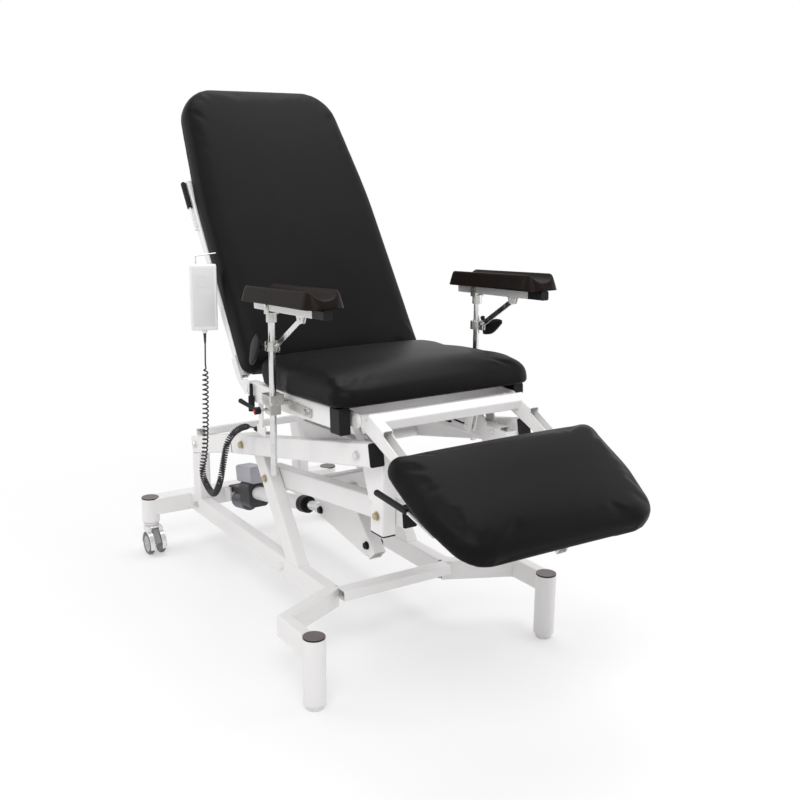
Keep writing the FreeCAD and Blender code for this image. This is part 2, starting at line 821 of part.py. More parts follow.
def seat_frame():
    """Seat rails, cross tubes, drop tubes with gussets, and the hinge lugs."""
    parts = []
    level = -air - seat_rail_high / 2
    inner = seat_rail_x - seat_rail_wide / 2
    front = seat_spot(0, front_cross, -air - cross_high / 2)
    rear = seat_spot(0, rear_cross, -air - cross_high / 2)
    level_y = seat_spot(0, 1, 0) - seat_spot(0, 0, 0)
    for at in (front, rear):
        parts.append(tube(at_x(at, -inner - wall), at_x(at, inner + wall), cross_wide, cross_high, level_y))
    for s in (-1, 1):
        parts.append(tube(seat_spot(s * seat_rail_x, seat_rail_start, level),
                          seat_spot(s * seat_rail_x, seat_rail_end, level), seat_rail_wide, seat_rail_high))
        x = s * drop_x
        top = leg_hinge_z - leg_sweep
        parts.append(tube(V(x, drop_y, drop_low), V(x, drop_y, top), arm_wide, arm_high))
        low = drop_y + arm_high / 2 + plate
        gusset = [(drop_y, top), (drop_y, pin_i.z + arm_high / 2), (low, pin_i.z + arm_high / 2),
                  (carrier_front_y, pin_f.z - arm_high / 2), (front.y + cross_wide / 2, front.z),
                  (front.y, front.z + plate), (front.y - cross_wide / 2, front.z - cross_high / 2),
                  (pin_f.y + arm_high / 2, top)]
        for k in (-1, 1):
            parts.append(side_plate(gusset, 0, x + k * (arm_wide - plate) / 2, plate))
        a = V(s * carrier_x, drop_y, pin_f.z - plate)
        b = V(s * carrier_x, carrier_rear_y, carrier_rear_z)
        parts.append(tube(a, b, carrier_wide, carrier_high))
        post = V(s * carrier_x, rear.y, carrier_rear_z)
        parts.append(tube(post, V(post.x, rear.y, rear.z), carrier_wide, cross_wide))
        lug = [(front.y + cross_wide / 2, front.z + cross_high / 2 - plate),
               (leg_pin.y - lug_round, leg_pin.z + lug_round), (leg_pin.y - lug_round, leg_pin.z - lug_round),
               (front.y + cross_wide / 2, front.z - cross_high / 2)]
        rounding = lug_round * lug_round_share
        parts.append(side_plate(lug, [0, rounding, rounding, 0], s * leg_lug_x, plate))
        for pin in (pin_f, pin_i):
            parts.append(rod(V(x - arm_wide / 2, pin.y, pin.z), V(x + arm_wide / 2, pin.y, pin.z),
                             pin_dia + 2 * plate))
        bush = seat_spot(s * seat_rail_x, 0, 0)
        parts.append(rod(at_x(back_pin, bush.x - seat_rail_wide / 2),
                         at_x(back_pin, bush.x + seat_rail_wide / 2), back_shaft + 2 * plate))
    for y, z, x in spring_pins:
        pin = V(0, y, z)
        up = V(0, rear.y, rear.z)
        away = (up - pin).normalize()
        flat = X.cross(away)
        r = spring_eye * plate_half_share
        rounding = r * plate_round_share
        shape = [pin - away * r + flat * r, up + flat * r, up - flat * r, pin - away * r - flat * r]
        for k in (-1, 1):
            place = x + k * (spring_eye_wide / 2 + air + fork_plate / 2)
            parts.append(side_plate([(p.y, p.z) for p in shape], [rounding, 0, 0, rounding], place,
                                    fork_plate))
    frame = fuse(*parts)
    for s in (-1, 1):
        x = s * drop_x
        for pin in (pin_f, pin_i):
            frame = frame.cut(rod(V(x - arm_wide, pin.y, pin.z), V(x + arm_wide, pin.y, pin.z),
                                  pin_dia + air))
        frame = frame.cut(rod(at_x(leg_pin, s * (leg_lug_x - plate)), at_x(leg_pin, s * (leg_lug_x + plate)),
                              leg_pivot_dia + fit))
        x = s * seat_rail_x
        frame = frame.cut(rod(at_x(back_pin, x - seat_rail_wide), at_x(back_pin, x + seat_rail_wide),
                              back_shaft + fit))
    for y, z, x in spring_pins:
        frame = frame.cut(rod(V(x - spring_eye, y, z), V(x + spring_eye, y, z), spring_rod + fit))
    return frame


def seat_blocks():
    """Black end blocks on the front of the seat rails and plugs in the drop tubes."""
    parts = []
    for s in (-1, 1):
        level = -air - block_high / 2
        parts.append(tube(seat_spot(s * seat_rail_x, seat_rail_start - air, level),
                          seat_spot(s * seat_rail_x, seat_rail_start - block_long, level),
                          seat_rail_wide + block_over, block_high, X, 0))
        parts.append(plug(V(s * drop_x, drop_y, drop_low), -Z, arm_wide, arm_high))
    x = -(seat_rail_x + seat_rail_wide / 2 + air + stop_end_dia / 2)
    mid = V(x, stop_y, stop_mid)
    parts.append(fuse(rod(mid, V(x, stop_y, stop_top), stop_dia),
                      rod(V(x, stop_y, stop_low), mid, stop_end_dia)))
    return parts


def back_frame():
    """Side bars and cross bars behind the back cushion, hinge shaft, lugs and crank."""
    parts = []
    level = -back_thick - air - back_bar_high / 2
    for s in (-1, 1):
        parts.append(tube(back_spot(s * back_bar_x, back_bar_start, level),
                          back_spot(s * back_bar_x, back_bar_end, level), back_bar_wide, back_bar_high))
        outer = s * (back_bar_x + back_bar_wide / 2 + plate / 2)
        low, high = level - back_bar_high / 2, level + back_bar_high / 2 - air
        tipped_back = FreeCAD.Placement(V(0, back_y, back_z), FreeCAD.Rotation(X, back_turn))
        pivot = tipped_back.inverse().multVec(back_pin)
        r = back_lug_round
        rounding = r * lug_round_share
        lug = [(4 * r, low), (4 * r, high), (back_start, high), (pivot.y + r, pivot.z + r),
               (pivot.y - r, pivot.z + r), (pivot.y - r, pivot.z - r), (back_bar_start, low)]
        parts.append(prism([back_spot(outer - plate / 2, y, z) for y, z in lug],
                           [0, 0, 0, rounding, rounding, rounding, 0], X * plate))
        parts.append(rod(at_x(back_pin, s * (seat_rail_x - 2 * lug_round)),
                         at_x(back_pin, outer + s * plate), back_shaft))
    for along in back_cross_shares:
        at = back_spot(0, back_bar_start + along * (back_bar_end - back_bar_start), level)
        inner = back_bar_x - back_bar_wide / 2 + wall
        parts.append(tube(at_x(at, -inner), at_x(at, inner), back_bar_high, back_bar_high - plate,
                          (back_spot(0, 1, 0) - back_spot(0, 0, 0)).normalize()))
    parts.append(rod(at_x(back_pin, -seat_rail_x), at_x(back_pin, seat_rail_x), back_shaft))
    parts += crank_plates(back_pin, back_crank, back_spring_x, spring_eye_wide)
    frame = fuse(*parts)
    inner = back_spot(-back_bar_x + back_bar_wide, back_release_along, level)
    return frame.cut(rod(inner, inner - X * (3 * back_bar_wide), release_rod + 2 * fit))


def back_release():
    """Cranked release rod through the side bar with its black grip above."""
    level = -back_thick - air - back_bar_high / 2
    inner = -(back_bar_x - back_bar_wide / 2 - air)
    outer = -(back_bar_x + back_bar_wide / 2 + release_rod)
    a = back_spot(inner + plate, back_release_along, level)
    b = back_spot(outer, back_release_along, level)
    c = back_spot(outer, back_release_along + release_rise, level)
    d = back_spot(outer, back_release_along + release_rise + release_grip_long, level)
    head = rod(a, back_spot(inner, back_release_along, level), release_grip)
    return fuse(rod(a, b, release_rod), Part.makeSphere(release_rod / 2, b), rod(b, c, release_rod), head,
                rod(c, d, release_grip), Part.makeSphere(release_grip / 2, d))


def leg_frame():
    """Pivot tube, side arms and cross tube, and the runners under the pad."""
    turn = FreeCAD.Rotation(X, leg_arm_turn)
    ahead = turn.multVec(-Y)
    lift = turn.multVec(Z)
    start = leg_pin + lift * leg_arm_lift
    end = start + ahead * leg_arm_long
    parts = [rod(at_x(leg_pin, -leg_lug_x - plate), at_x(leg_pin, leg_lug_x + plate), leg_pivot_dia)]
    relief = Part.makeBox(2 * leg_pad_half, 2 * leg_relief_ahead, leg_arm_high,
                          V(-leg_pad_half, -leg_relief_ahead, leg_relief_lift))
    relief = placed(relief, leg_pin.y, leg_pin.z, leg_arm_turn)
    runner = -leg_pad_thick - air - leg_runner_size / 2
    for s in (-1, 1):
        arm = tube(at_x(start, s * leg_arm_x), at_x(end, s * leg_arm_x), leg_arm_wide, leg_arm_high)
        parts.append(arm.cut(relief))
        parts.append(tube(leg_spot(s * leg_arm_x, -leg_runner_start, runner),
                          leg_spot(s * leg_arm_x, -leg_runner_end, runner), leg_arm_wide, leg_runner_size))
    cross = start + ahead * leg_cross_at + lift * (leg_arm_high - leg_cross_high) / 2
    inner = leg_arm_x - leg_arm_wide / 2 + wall
    parts.append(tube(at_x(cross, -inner), at_x(cross, inner), leg_cross_wide, leg_cross_high, ahead))
    front = leg_spot(0, -leg_runner_end + leg_runner_size, runner)
    parts.append(tube(at_x(front, -inner), at_x(front, inner), leg_runner_size, leg_runner_size - plate,
                      ahead))
    parts += crank_plates(leg_pin, leg_crank, leg_spring_x, spring_eye_wide)
    parts.append(tube(leg_spot(leg_slide_x, -leg_slide_start, leg_slide_out),
                      leg_spot(leg_slide_x, -leg_slide_end, leg_slide_out), leg_slide_size, leg_slide_size))
    keep = fuse(*parts)
    bore = leg_spot(0, -leg_release_along, runner)
    keep = keep.cut(rod(at_x(bore, -leg_arm_x + leg_arm_wide), at_x(bore, -leg_pad_half),
                        release_rod + 2 * fit))
    pad = Part.makeBox(4 * leg_pad_half, 4 * leg_pad_long, 4 * leg_pad_long,
                       V(-2 * leg_pad_half, -3 * leg_pad_long, 0))
    pad = placed(pad, *leg_floor(), leg_turn)
    band = box(-far, far, -far, leg_pad_y + 2 * leg_pad_thick, 0, far)
    return keep.cut(pad.common(band))


def leg_release():
    """Release rod through the left runner, running back to its black grip."""
    pivot = leg_spot(0, -leg_release_along, -leg_pad_thick - air - leg_runner_size / 2)
    inner = -(leg_arm_x - leg_arm_wide / 2 - air)
    a = at_x(pivot, inner + plate)
    b = at_x(pivot, -leg_release_x)
    c = V(-leg_release_x, leg_grip_front_y, leg_grip_front_z)
    d = V(-leg_release_x, leg_grip_rear_y, leg_grip_rear_z)
    head = rod(a, at_x(pivot, inner), release_grip)
    return fuse(rod(a, b, release_rod), Part.makeSphere(release_rod / 2, b), rod(b, c, release_rod), head,
                Part.makeSphere(release_grip / 2, c), rod(c, d, release_grip),
                Part.makeSphere(release_grip / 2, d))


def leg_floor():
    """Side-view point on the underside of the leg pad, one clearance below it."""
    at = leg_spot(0, 0, -leg_pad_thick - air)
    return at.y, at.z


def spring_body(a, b, long):
    """Gas spring cylinder with its eye at a, pointing at b."""
    ahead = (b - a).normalize()
    half = spring_eye_wide / 2
    eye = rod(a - X * half, a + X * half, spring_eye)
    neck = rod(a, a + ahead * spring_neck, spring_rod)
    body = rod(a + ahead * spring_neck, a + ahead * long, spring_dia, spring_rod + 2 * air)
    cap = rod(a + ahead * spring_neck, a + ahead * (spring_neck + plate), spring_dia)
    pin = rod(a - X * (half + air + fork_plate), a + X * (half + air + fork_plate), spring_rod)
    return fuse(eye, neck, body, cap, pin)


def spring_piston(a, b, long, inside):
    """Gas spring rod with its eye at b, reaching back into the cylinder from a."""
    ahead = (b - a).normalize()
    half = spring_eye_wide / 2
    eye = rod(b - X * half, b + X * half, spring_eye)
    start = a + ahead * (long - inside)
    return fuse(eye, rod(start, b, spring_rod))


def castor_fork(s):
    """Stem, swivel ring and fork blade of one castor, trailing forwards."""
    x, y = s * castor_post_x, beam_y
    axle_y = y - castor_trail
    axle_z = wheel_dia / 2
    stem = rod(V(x, y, fork_top), V(x, y, castor_post_low + castor_stem), stem_dia)
    ring = rod(V(x, y, fork_top), V(x, y, castor_post_low - air), collar_ring)
    blade_wide = wheel_apart - 2 * air
    points = [V(x - blade_wide / 2, y + collar_ring / 2, fork_top),
              V(x - blade_wide / 2, y - collar_ring / 2, fork_top),
              V(x - blade_wide / 2, axle_y - wheel_hub / 2, axle_z - axle_dia),
              V(x - blade_wide / 2, axle_y + axle_dia, axle_z - axle_dia)]
    blade = prism(points, [fork_wall, fork_wall, axle_dia / 2, axle_dia / 2], X * blade_wide)
    half = wheel_apart / 2 + wheel_wide + fork_wall / 2
    axle = rod(V(x - half, axle_y, axle_z), V(x + half, axle_y, axle_z), axle_dia)
    return fuse(stem, ring, blade, axle)


def castor_wheels(s):
    """Twin wheels: rounded treads and dished hubs, turned about the axle."""
    x, y, z = s * castor_post_x, beam_y - castor_trail, wheel_dia / 2
    wheels = []
    r = wheel_dia / 2
    for k in (-1, 1):
        inner = wheel_apart / 2
        outer = inner + wheel_wide
        bore = axle_dia / 2 + fit
        profile = [V(inner, bore, 0), V(inner, r - fork_wall, 0), V(inner + fork_wall, r, 0),
                   V(outer - fork_wall, r, 0), V(outer, r - fork_wall, 0), V(outer, r - 2 * fork_wall, 0),
                   V(outer - fork_wall, wheel_hub / 2, 0), V(outer, axle_dia, 0), V(outer, bore, 0)]
        face = Part.Face(outline(profile, 0))
        wheel = face.revolve(origin, X, 360)
        if k < 0:
            wheel = mirrored(wheel)
        wheel.translate(V(x, y, z))
        wheels.append(wheel)
    return wheels


def fork_front(z):
    """Front edge of the fork blade at height z, one clearance ahead of it."""
    low = wheel_dia / 2 - axle_dia
    run = castor_trail + wheel_hub / 2 - collar_ring / 2
    return beam_y - collar_ring / 2 - run * (fork_top - z) / (fork_top - low) - air


def castor_pedal(s):
    """Brake pedal hinged on the front of the fork."""
    x = s * castor_post_x
    high, low = fork_top - collar_ring_high / 2, fork_top - 2 * collar_ring_high
    toe = fork_front(low) - pedal_long
    points = [V(x, fork_front(high), high), V(x, fork_front(low), low), V(x, toe, low - pedal_long),
              V(x, toe - pedal_thick, low - pedal_long + pedal_thick),
              V(x, fork_front(high) - pedal_thick, high)]
    radii = [0, 0, pedal_round, pedal_round, pedal_round]
    return prism([p - X * (pedal_wide / 2 - air) for p in points], radii, X * (pedal_wide - 2 * air))


drive_front = V(drive_x, drive_front_y, drive_front_z)
drive_rear = V(drive_x, drive_rear_y, drive_rear_z)
drive_ahead = (drive_front - drive_rear).normalize()
drive_up = drive_ahead.cross(X) if drive_ahead.cross(X).z > 0 else X.cross(drive_ahead)


def actuator_bracket():
    """Two ears on the front of the rear beam that hold the actuator's rear pin."""
    parts = []
    front = beam_y - beam_wide / 2
    for k in (-1, 1):
        place = drive_x + k * (drive_ear / 2 + air + plate / 2)
        shape = [(front, rail_top - plate), (front, rail_top - plate - bracket_high),
                 (drive_rear.y - drive_pin, rail_top - plate - bracket_high / 2 - drive_pin),
                 (drive_rear.y - drive_pin, rail_top + plate)]
        ear_round = drive_pin * ear_round_share
        parts.append(side_plate(shape, [0, 0, ear_round, ear_round], place, plate))
    web = box(drive_x - drive_ear / 2 - plate, drive_x + drive_ear / 2 + plate, front - plate, front,
              rail_top - plate - bracket_high, rail_top - plate)
    half = drive_ear / 2 + air + plate
    pin = rod(drive_rear - X * half, drive_rear + X * half, drive_pin)
    return fuse(fuse(web, *parts), pin)


def actuator_housing():
    """Rear ear, gear case and outer tube of the actuator."""
    ear = rod(drive_rear - X * (drive_ear / 2), drive_rear + X * (drive_ear / 2),
              rear_ear_share * drive_pin)
    neck = tube(drive_rear, drive_rear + drive_ahead * gear_start, drive_ear * neck_share, 2 * drive_pin,
                X, 0)
    low = drive_rear + drive_ahead * gear_start - drive_up * gear_drop
    case = tube(low, low + drive_ahead * gear_long, gear_wide, gear_high, X, 0, 3 * corner)
    barrel = rod(drive_rear + drive_ahead * (gear_start + gear_long),
                 drive_rear + drive_ahead * outer_tube_end, outer_tube, inner_tube + 2 * air)
    body = fuse(ear, neck, case, barrel)
    return body.cut(rod(drive_rear - X * far, drive_rear + X * far, drive_pin + fit))


def actuator_motor():
    """Motor under the neck, with a domed rear end."""
    start = drive_rear + drive_ahead * motor_start - drive_up * (motor_drop + drive_pin)
    end = drive_rear + drive_ahead * (gear_start - air) - drive_up * (motor_drop + drive_pin)
    r = motor_dia / 2
    long = (end - start).Length
    flat_edge, shoulder, side = [V(r * out, 0, r * deep) for out, deep in motor_dome_shares]
    profile = Part.Wire([Part.LineSegment(V(0, 0, 0), flat_edge).toShape(),
                         Part.Arc(flat_edge, shoulder, side).toShape(),
                         Part.LineSegment(side, V(r, 0, long)).toShape(),
                         Part.LineSegment(V(r, 0, long), V(0, 0, long)).toShape(),
                         Part.LineSegment(V(0, 0, long), V(0, 0, 0)).toShape()])
    body = Part.Face(profile).revolve(origin, Z, 360)
    body.Placement = FreeCAD.Placement(start, FreeCAD.Rotation(Z, drive_ahead))
    neck = tube(drive_rear, drive_rear + drive_ahead * (gear_start + air), drive_ear * neck_share + air,
                2 * drive_pin + 2 * air, X, 0)
    return body.cut(neck)


def actuator_ring():
    """Black ring on the front end of the outer tube."""
    start = drive_rear + drive_ahead * outer_tube_end
    return rod(start, start + drive_ahead * ring_long, ring_dia, inner_tube + 2 * air)


def actuator_rod():
    """Inner tube with the white rod end, whose eye sits between the lever plates."""
    half = lever_wide / 2 - plate - air
    end = drive_front - drive_ahead * drive_pin * rod_end_share
    start = drive_rear + drive_ahead * (outer_tube_end - 3 * outer_tube)
    inner = rod(start, end, inner_tube)
    block = tube(end - drive_ahead * rod_end_long * rod_block_share, drive_front, 2 * half, inner_tube, X, 0)
    eye = rod(drive_front - X * half, drive_front + X * half, inner_tube)
    return fuse(inner, block, eye)


def control_box():
    """Electronics box on top of the gear case."""
    top = drive_rear + drive_ahead * (gear_start + gear_long / 2) + drive_up * (gear_high / 2 - gear_drop)
    start = top - drive_ahead * (box_long / 2)
    a = start + drive_up * (box_high / 2)
    return tube(a, a + drive_ahead * box_long, box_wide, box_high, X, 0, box_round)


def pin_with_head(a, b, dia, head):
    """Pin from a to b with a domed head beyond b."""
    out = (b - a).normalize()
    return fuse(rod(a, b, dia), bolt(b, out, head))


def base_fasteners():
    """Bolts of the towers and rails, and the rear pins of the lift arms."""
    parts = []
    for s in (-1, 1):
        face = s * (rail_x + rail_wide / 2)
        out = X * s
        parts.append(bolt(V(face, column_bolt_y, rail_bolt_z), out))
        parts.append(bolt(V(face, upright_bolt_y, rail_bolt_z), out))
        parts.append(bolt(V(face, stay_rear_y, stay_rear_z), out))
        inner = s * (rail_x - rail_wide / 2)
        outer = s * (upper_x + arm_wide / 2 + air)
        parts.append(pin_with_head(V(inner, pin_d.y, pin_d.z), V(outer, pin_d.y, pin_d.z),
                                   pin_dia - fit, bolt_head))
        inner = s * (lower_x - arm_wide / 2)
        parts.append(pin_with_head(V(inner, pin_e.y, pin_e.z), V(face, pin_e.y, pin_e.z),
                                   pin_dia - fit, bolt_head))
    return parts


def seat_fasteners():
    """Front pins of the lift arms and bolts of the seat frame."""
    parts = []
    for s in (-1, 1):
        inner = s * (drop_x - arm_wide / 2)
        outer = s * (upper_x + arm_wide / 2 + air)
        parts.append(pin_with_head(V(inner, pin_f.y, pin_f.z), V(outer, pin_f.y, pin_f.z),
                                   pin_dia - fit, bolt_head))
        inner = s * (lower_x - arm_wide / 2)
        outer = s * (drop_x + arm_wide / 2)
        parts.append(pin_with_head(V(inner, pin_i.y, pin_i.z), V(outer, pin_i.y, pin_i.z),
                                   pin_dia - fit, bolt_head))
    return parts


def lever_bolts():
    """Bolt heads on both sides of the drive lever."""
    start = at_x(lower_cross(), drive_x)
    end = V(drive_x, lever_end_y, lever_end_z)
    at = start + (end - start) * lever_bolt_share
    parts = []
    for k in (-1, 1):
        parts.append(bolt(at + X * (k * lever_wide / 2), X * k))
        parts.append(bolt(drive_front + X * (k * lever_wide / 2), X * k))
    return parts


def arm_plugs(ahead, pin, past, x, rear_pin=None, past_rear=0.0):
    """End plugs of a pair of lift arms, at both ends where a rear pin is given."""
    parts = []
    for s in (-1, 1):
        parts.append(plug(at_x(pin + ahead * past, s * x), ahead, arm_wide, arm_high))
        if rear_pin:
            parts.append(plug(at_x(rear_pin - ahead * past_rear, s * x), -ahead, arm_wide, arm_high))
    return parts


def arm_carrier(s):
    """Zinc bar along the seat rail with the plate that holds the armrest clamp."""
    face = seat_rail_x + seat_rail_wide / 2 + air
    bar = box(s * face, s * (face + carrier_bar), carrier_bar_front, carrier_bar_rear,
              clamp_z - carrier_bar_high, clamp_z)
    plate_end = arm_post_x + clamp_wide / 2
    points = [V(s * face, arm_post_y - clamp_long / 2, clamp_z - carrier_plate),
              V(s * face, arm_post_y + clamp_long / 2, clamp_z - carrier_plate),
              V(s * plate_end, arm_post_y + clamp_long / 2, clamp_z - carrier_plate),
              V(s * plate_end, arm_post_y - clamp_long / 2, clamp_z - carrier_plate)]
    shelf = prism(points, [0, 0, lug_round / 2, lug_round / 2], Z * carrier_plate)
    body = fuse(bar, shelf)
    return body.cut(rod(V(s * arm_post_x, arm_post_y, clamp_z - far),
                        V(s * arm_post_x, arm_post_y, clamp_z + far), arm_post_dia + 2 * air))


def carrier_bolt(s):
    """Bolt that holds the carrier bar on the seat rail."""
    face = seat_rail_x + seat_rail_wide / 2 + air + carrier_bar
    return bolt(V(s * face, carrier_bar_front + bolt_head, clamp_z - carrier_bar_high / 2), X * s,
                bolt_head * small_bolt_share, bolt_head_high)


def seat_clamp(s):
    """Upper clamp block and lower jaw round the armrest post."""
    x = s * arm_post_x
    low = clamp_z
    half_wide, half_long = clamp_wide / 2, clamp_long / 2
    points = [V(x + i * half_wide, arm_post_y + j * half_long, low)
              for i, j in ((-1, -1), (1, -1), (1, 1), (-1, 1))]
    block = prism(points, corner, Z * clamp_high)
    top = clamp_z - carrier_plate
    jaw = box(x - jaw_wide / 2, x + jaw_wide / 2, arm_post_y - jaw_long / 2, arm_post_y + jaw_long / 2,
              top - jaw_high, top)
    bore = rod(V(x, arm_post_y, top - far), V(x, arm_post_y, top + far), arm_post_dia + 2 * fit)
    screw = rod(V(x + s * (jaw_wide / 2 - overrun), arm_post_y, top - jaw_high / 2),
                V(s * (lever_out - lever_hub_wide / 2 - air), arm_post_y, top - jaw_high / 2), knob_stem)
    return [block.cut(bore), fuse(jaw, screw).cut(bore)]


def clamp_lever(s):
    """Black cranked handle of the clamp, pointing back."""
    z = clamp_z - carrier_plate - jaw_high / 2
    a = V(s * (lever_out - lever_hub_wide / 2), arm_post_y, z)
    b = V(s * (lever_out + lever_hub_wide / 2), arm_post_y, z)
    hub = rod(a, b, lever_hub)
    root = V(s * lever_out, arm_post_y, z)
    tip = root + V(s * lever_tip, lever_rear, lever_tip)
    handle = Part.makeCone(knob_stem / 2, lever_tip / 2, (tip - root).Length, root, tip - root)
    return fuse(hub, handle, Part.makeSphere(lever_tip / 2, tip))


def clamp_button(s):
    """Red button in the hub of the clamp handle."""
    z = clamp_z - carrier_plate - jaw_high / 2
    a = V(s * (lever_out + lever_hub_wide / 2 + air), arm_post_y, z)
    return rod(a, a + X * (s * plate / 2), button_dia)


def arm_spot(s, across, along, out):
    """Place on the armrest: along is measured forwards from the tilt pin."""
    tilted = FreeCAD.Placement(V(0, arm_post_y, arm_tilt_z), FreeCAD.Rotation(X, -arm_tilt))
    p = tilted.multVec(V(0, -along, out))
    return V(s * arm_post_x + across, p.y, p.z)


def arm_post(s):
    """Round post of the armrest."""
    return rod(V(s * arm_post_x, arm_post_y, arm_post_low), V(s * arm_post_x, arm_post_y, arm_post_top),
               arm_post_dia)


def arm_head(s):
    """Socket on the post with two ears that hold the arm tube."""
    x, y = s * arm_post_x, arm_post_y
    low = arm_post_top - head_high + plate
    socket = rod(V(x, y, low), V(x, y, arm_post_top + plate), head_dia)
    inner = arm_tube_size / 2 + air
    base = box(x - inner - head_fork, x + inner + head_fork, y - head_ear / 2, y + head_ear / 2,
               arm_post_top + air, arm_post_top + plate)
    parts = [socket, base]
    for k in (-1, 1):
        shape = [(y - head_ear / 2, arm_post_top + air), (y + head_ear / 2, arm_post_top + air),
                 (y + head_ear / 2, arm_tilt_z + head_ear / 2), (y - head_ear / 2, arm_tilt_z + head_ear / 2)]
        ear_round = head_ear * head_round_share
        parts.append(side_plate(shape, [0, 0, ear_round, ear_round], x + k * (inner + head_fork / 2),
                                head_fork))
    pin = rod(V(x - inner - head_fork, y, arm_tilt_z), V(x + inner + head_fork, y, arm_tilt_z),
              arm_bolt - fit)
    head = fuse(*parts, pin)
    caps = [rod(V(x + k * (inner + head_fork), y, arm_tilt_z),
                V(x + k * (inner + 2 * head_fork), y, arm_tilt_z), arm_cap_share * arm_bolt) for k in (-1, 1)]
    head = fuse(head, *caps)
    bore = rod(V(x, y, low - overrun), V(x, y, arm_post_top), arm_post_dia + fit)
    return head.cut(bore)


def brace_top(s):
    """Upper pin of the strut, under the arm tube."""
    return arm_spot(s, 0, arm_post_y - brace_front_y, -brace_drop)


def arm_tube(s):
    """Square tube under the pad with the brace bracket."""
    solid = tube(arm_spot(s, 0, -arm_tube_rear, 0), arm_spot(s, 0, arm_tube_front, 0), arm_tube_size,
                 arm_tube_size, X, wall, corner / 2)
    top = brace_top(s)
    r = brace_wide / 2 + wall
    under = arm_spot(s, 0, arm_post_y - brace_front_y, -arm_tube_size / 2 + wall / 2)
    parts = [solid]
    for k in (-1, 1):
        place = s * arm_post_x + k * (brace_thick / 2 + air + head_fork / 2)
        shape = [(under.y + 2 * r, under.z), (top.y + r, top.z - r), (top.y - r, top.z - r),
                 (under.y - 2 * r, under.z + wall / 2)]
        parts.append(side_plate(shape, [0, r * brace_ear_share, r * brace_ear_share, 0], place, head_fork))
        face = V(place + k * head_fork / 2, top.y, top.z)
        parts.append(rod(face, face + X * (k * head_fork), arm_bolt))
    body = fuse(*parts)
    x = s * arm_post_x
    return body.cut(rod(V(x - far, arm_post_y, arm_tilt_z), V(x + far, arm_post_y, arm_tilt_z), arm_bolt))


def arm_end(s):
    """Black end block on the front of the arm tube."""
    return tube(arm_spot(s, 0, arm_tube_front + air, 0), arm_spot(s, 0, arm_tube_front + arm_end_long, 0),
                arm_tube_size, arm_tube_size, X, 0, corner)


def arm_brace(s):
    """Flat strut from the collar up to the arm tube."""
    low = V(s * arm_post_x, brace_low_y, brace_low_z)
    top = brace_top(s)
    bar = tube(low, top, brace_thick, brace_wide, X, 0, 0)
    half = brace_thick / 2
    ends = [rod(p - X * half, p + X * half, brace_wide) for p in (low, top)]
    body = fuse(bar, *ends)
    return body.cut(rod(low - X * far, low + X * far, arm_bolt))


def post_collar(s):
    """Sliding collar on the post with two ears for the strut."""
    x = s * arm_post_x
    ring = rod(V(x, arm_post_y, collar_z - collar_high / 2), V(x, arm_post_y, collar_z + collar_high / 2),
               collar_dia)
    parts = [ring]
    for k in (-1, 1):
        place = x + k * (brace_thick / 2 + air + head_fork / 2)
        shape = [(arm_post_y, collar_z - collar_high / 2),
                 (brace_low_y - brace_wide / 2, collar_z - collar_high / 2),
                 (brace_low_y - brace_wide / 2, brace_low_z + brace_wide / 2),
                 (arm_post_y, brace_low_z + brace_wide / 2)]
        parts.append(side_plate(shape, [0, collar_round, collar_round, 0], place, head_fork))
    half = brace_thick / 2 + air + 2 * head_fork
    core = rod(V(x - half, brace_low_y, brace_low_z), V(x + half, brace_low_y, brace_low_z), arm_bolt - fit)
    parts.append(core)
    outer = V(x + s * (collar_dia / 2 - wall), arm_post_y, collar_z)
    parts.append(rod(outer, outer + X * (s * knob_stem), knob_stem))
    body = fuse(*parts)
    slot = box(x - brace_thick / 2 - air, x + brace_thick / 2 + air, brace_low_y - brace_wide,
               arm_post_y - arm_post_dia / 2, collar_z - collar_high, collar_z + collar_high)
    body = body.cut(slot.cut(core))
    return body.cut(rod(V(x, arm_post_y, collar_z - far), V(x, arm_post_y, collar_z + far),
                        arm_post_dia + 2 * fit))


def collar_knob(s):
    """Black wing lever that locks the collar."""
    x = s * arm_post_x
    a = V(x + s * (collar_dia / 2 - wall + knob_stem + air), arm_post_y, collar_z)
    b = a + X * (s * knob_stem)
    hub = rod(a, b, knob_dia)
    root = b - X * (s * knob_stem / 2)
    tip = root + V(s * knob_stem, knob_long / 2, knob_long / 2)
    wing = Part.makeCone(knob_stem / 2, knob_dia / 2, (tip - root).Length, root, tip - root)
    return fuse(hub, wing)


# Sections of the gutter-shaped arm pad: place along it, width, side height, dish and base, as shares
pad_section_shares = ((0.0, 0.72, 0.62, 0.2, 0.10), (0.05, 0.97, 0.98, 0.9, 0.0), (0.5, 1.0, 1.0, 1.0, 0.0),
                      (0.88, 1.0, 1.0, 1.0, 0.0), (0.96, 0.92, 0.82, 0.9, 0.04), (1.0, 0.66, 0.5, 0.2, 0.12))
pad_rim_share = 0.8
pad_swell_share = 0.94
pad_shoulder_share = 0.2
pad_side_share = 0.1
pad_brow_share = 0.025


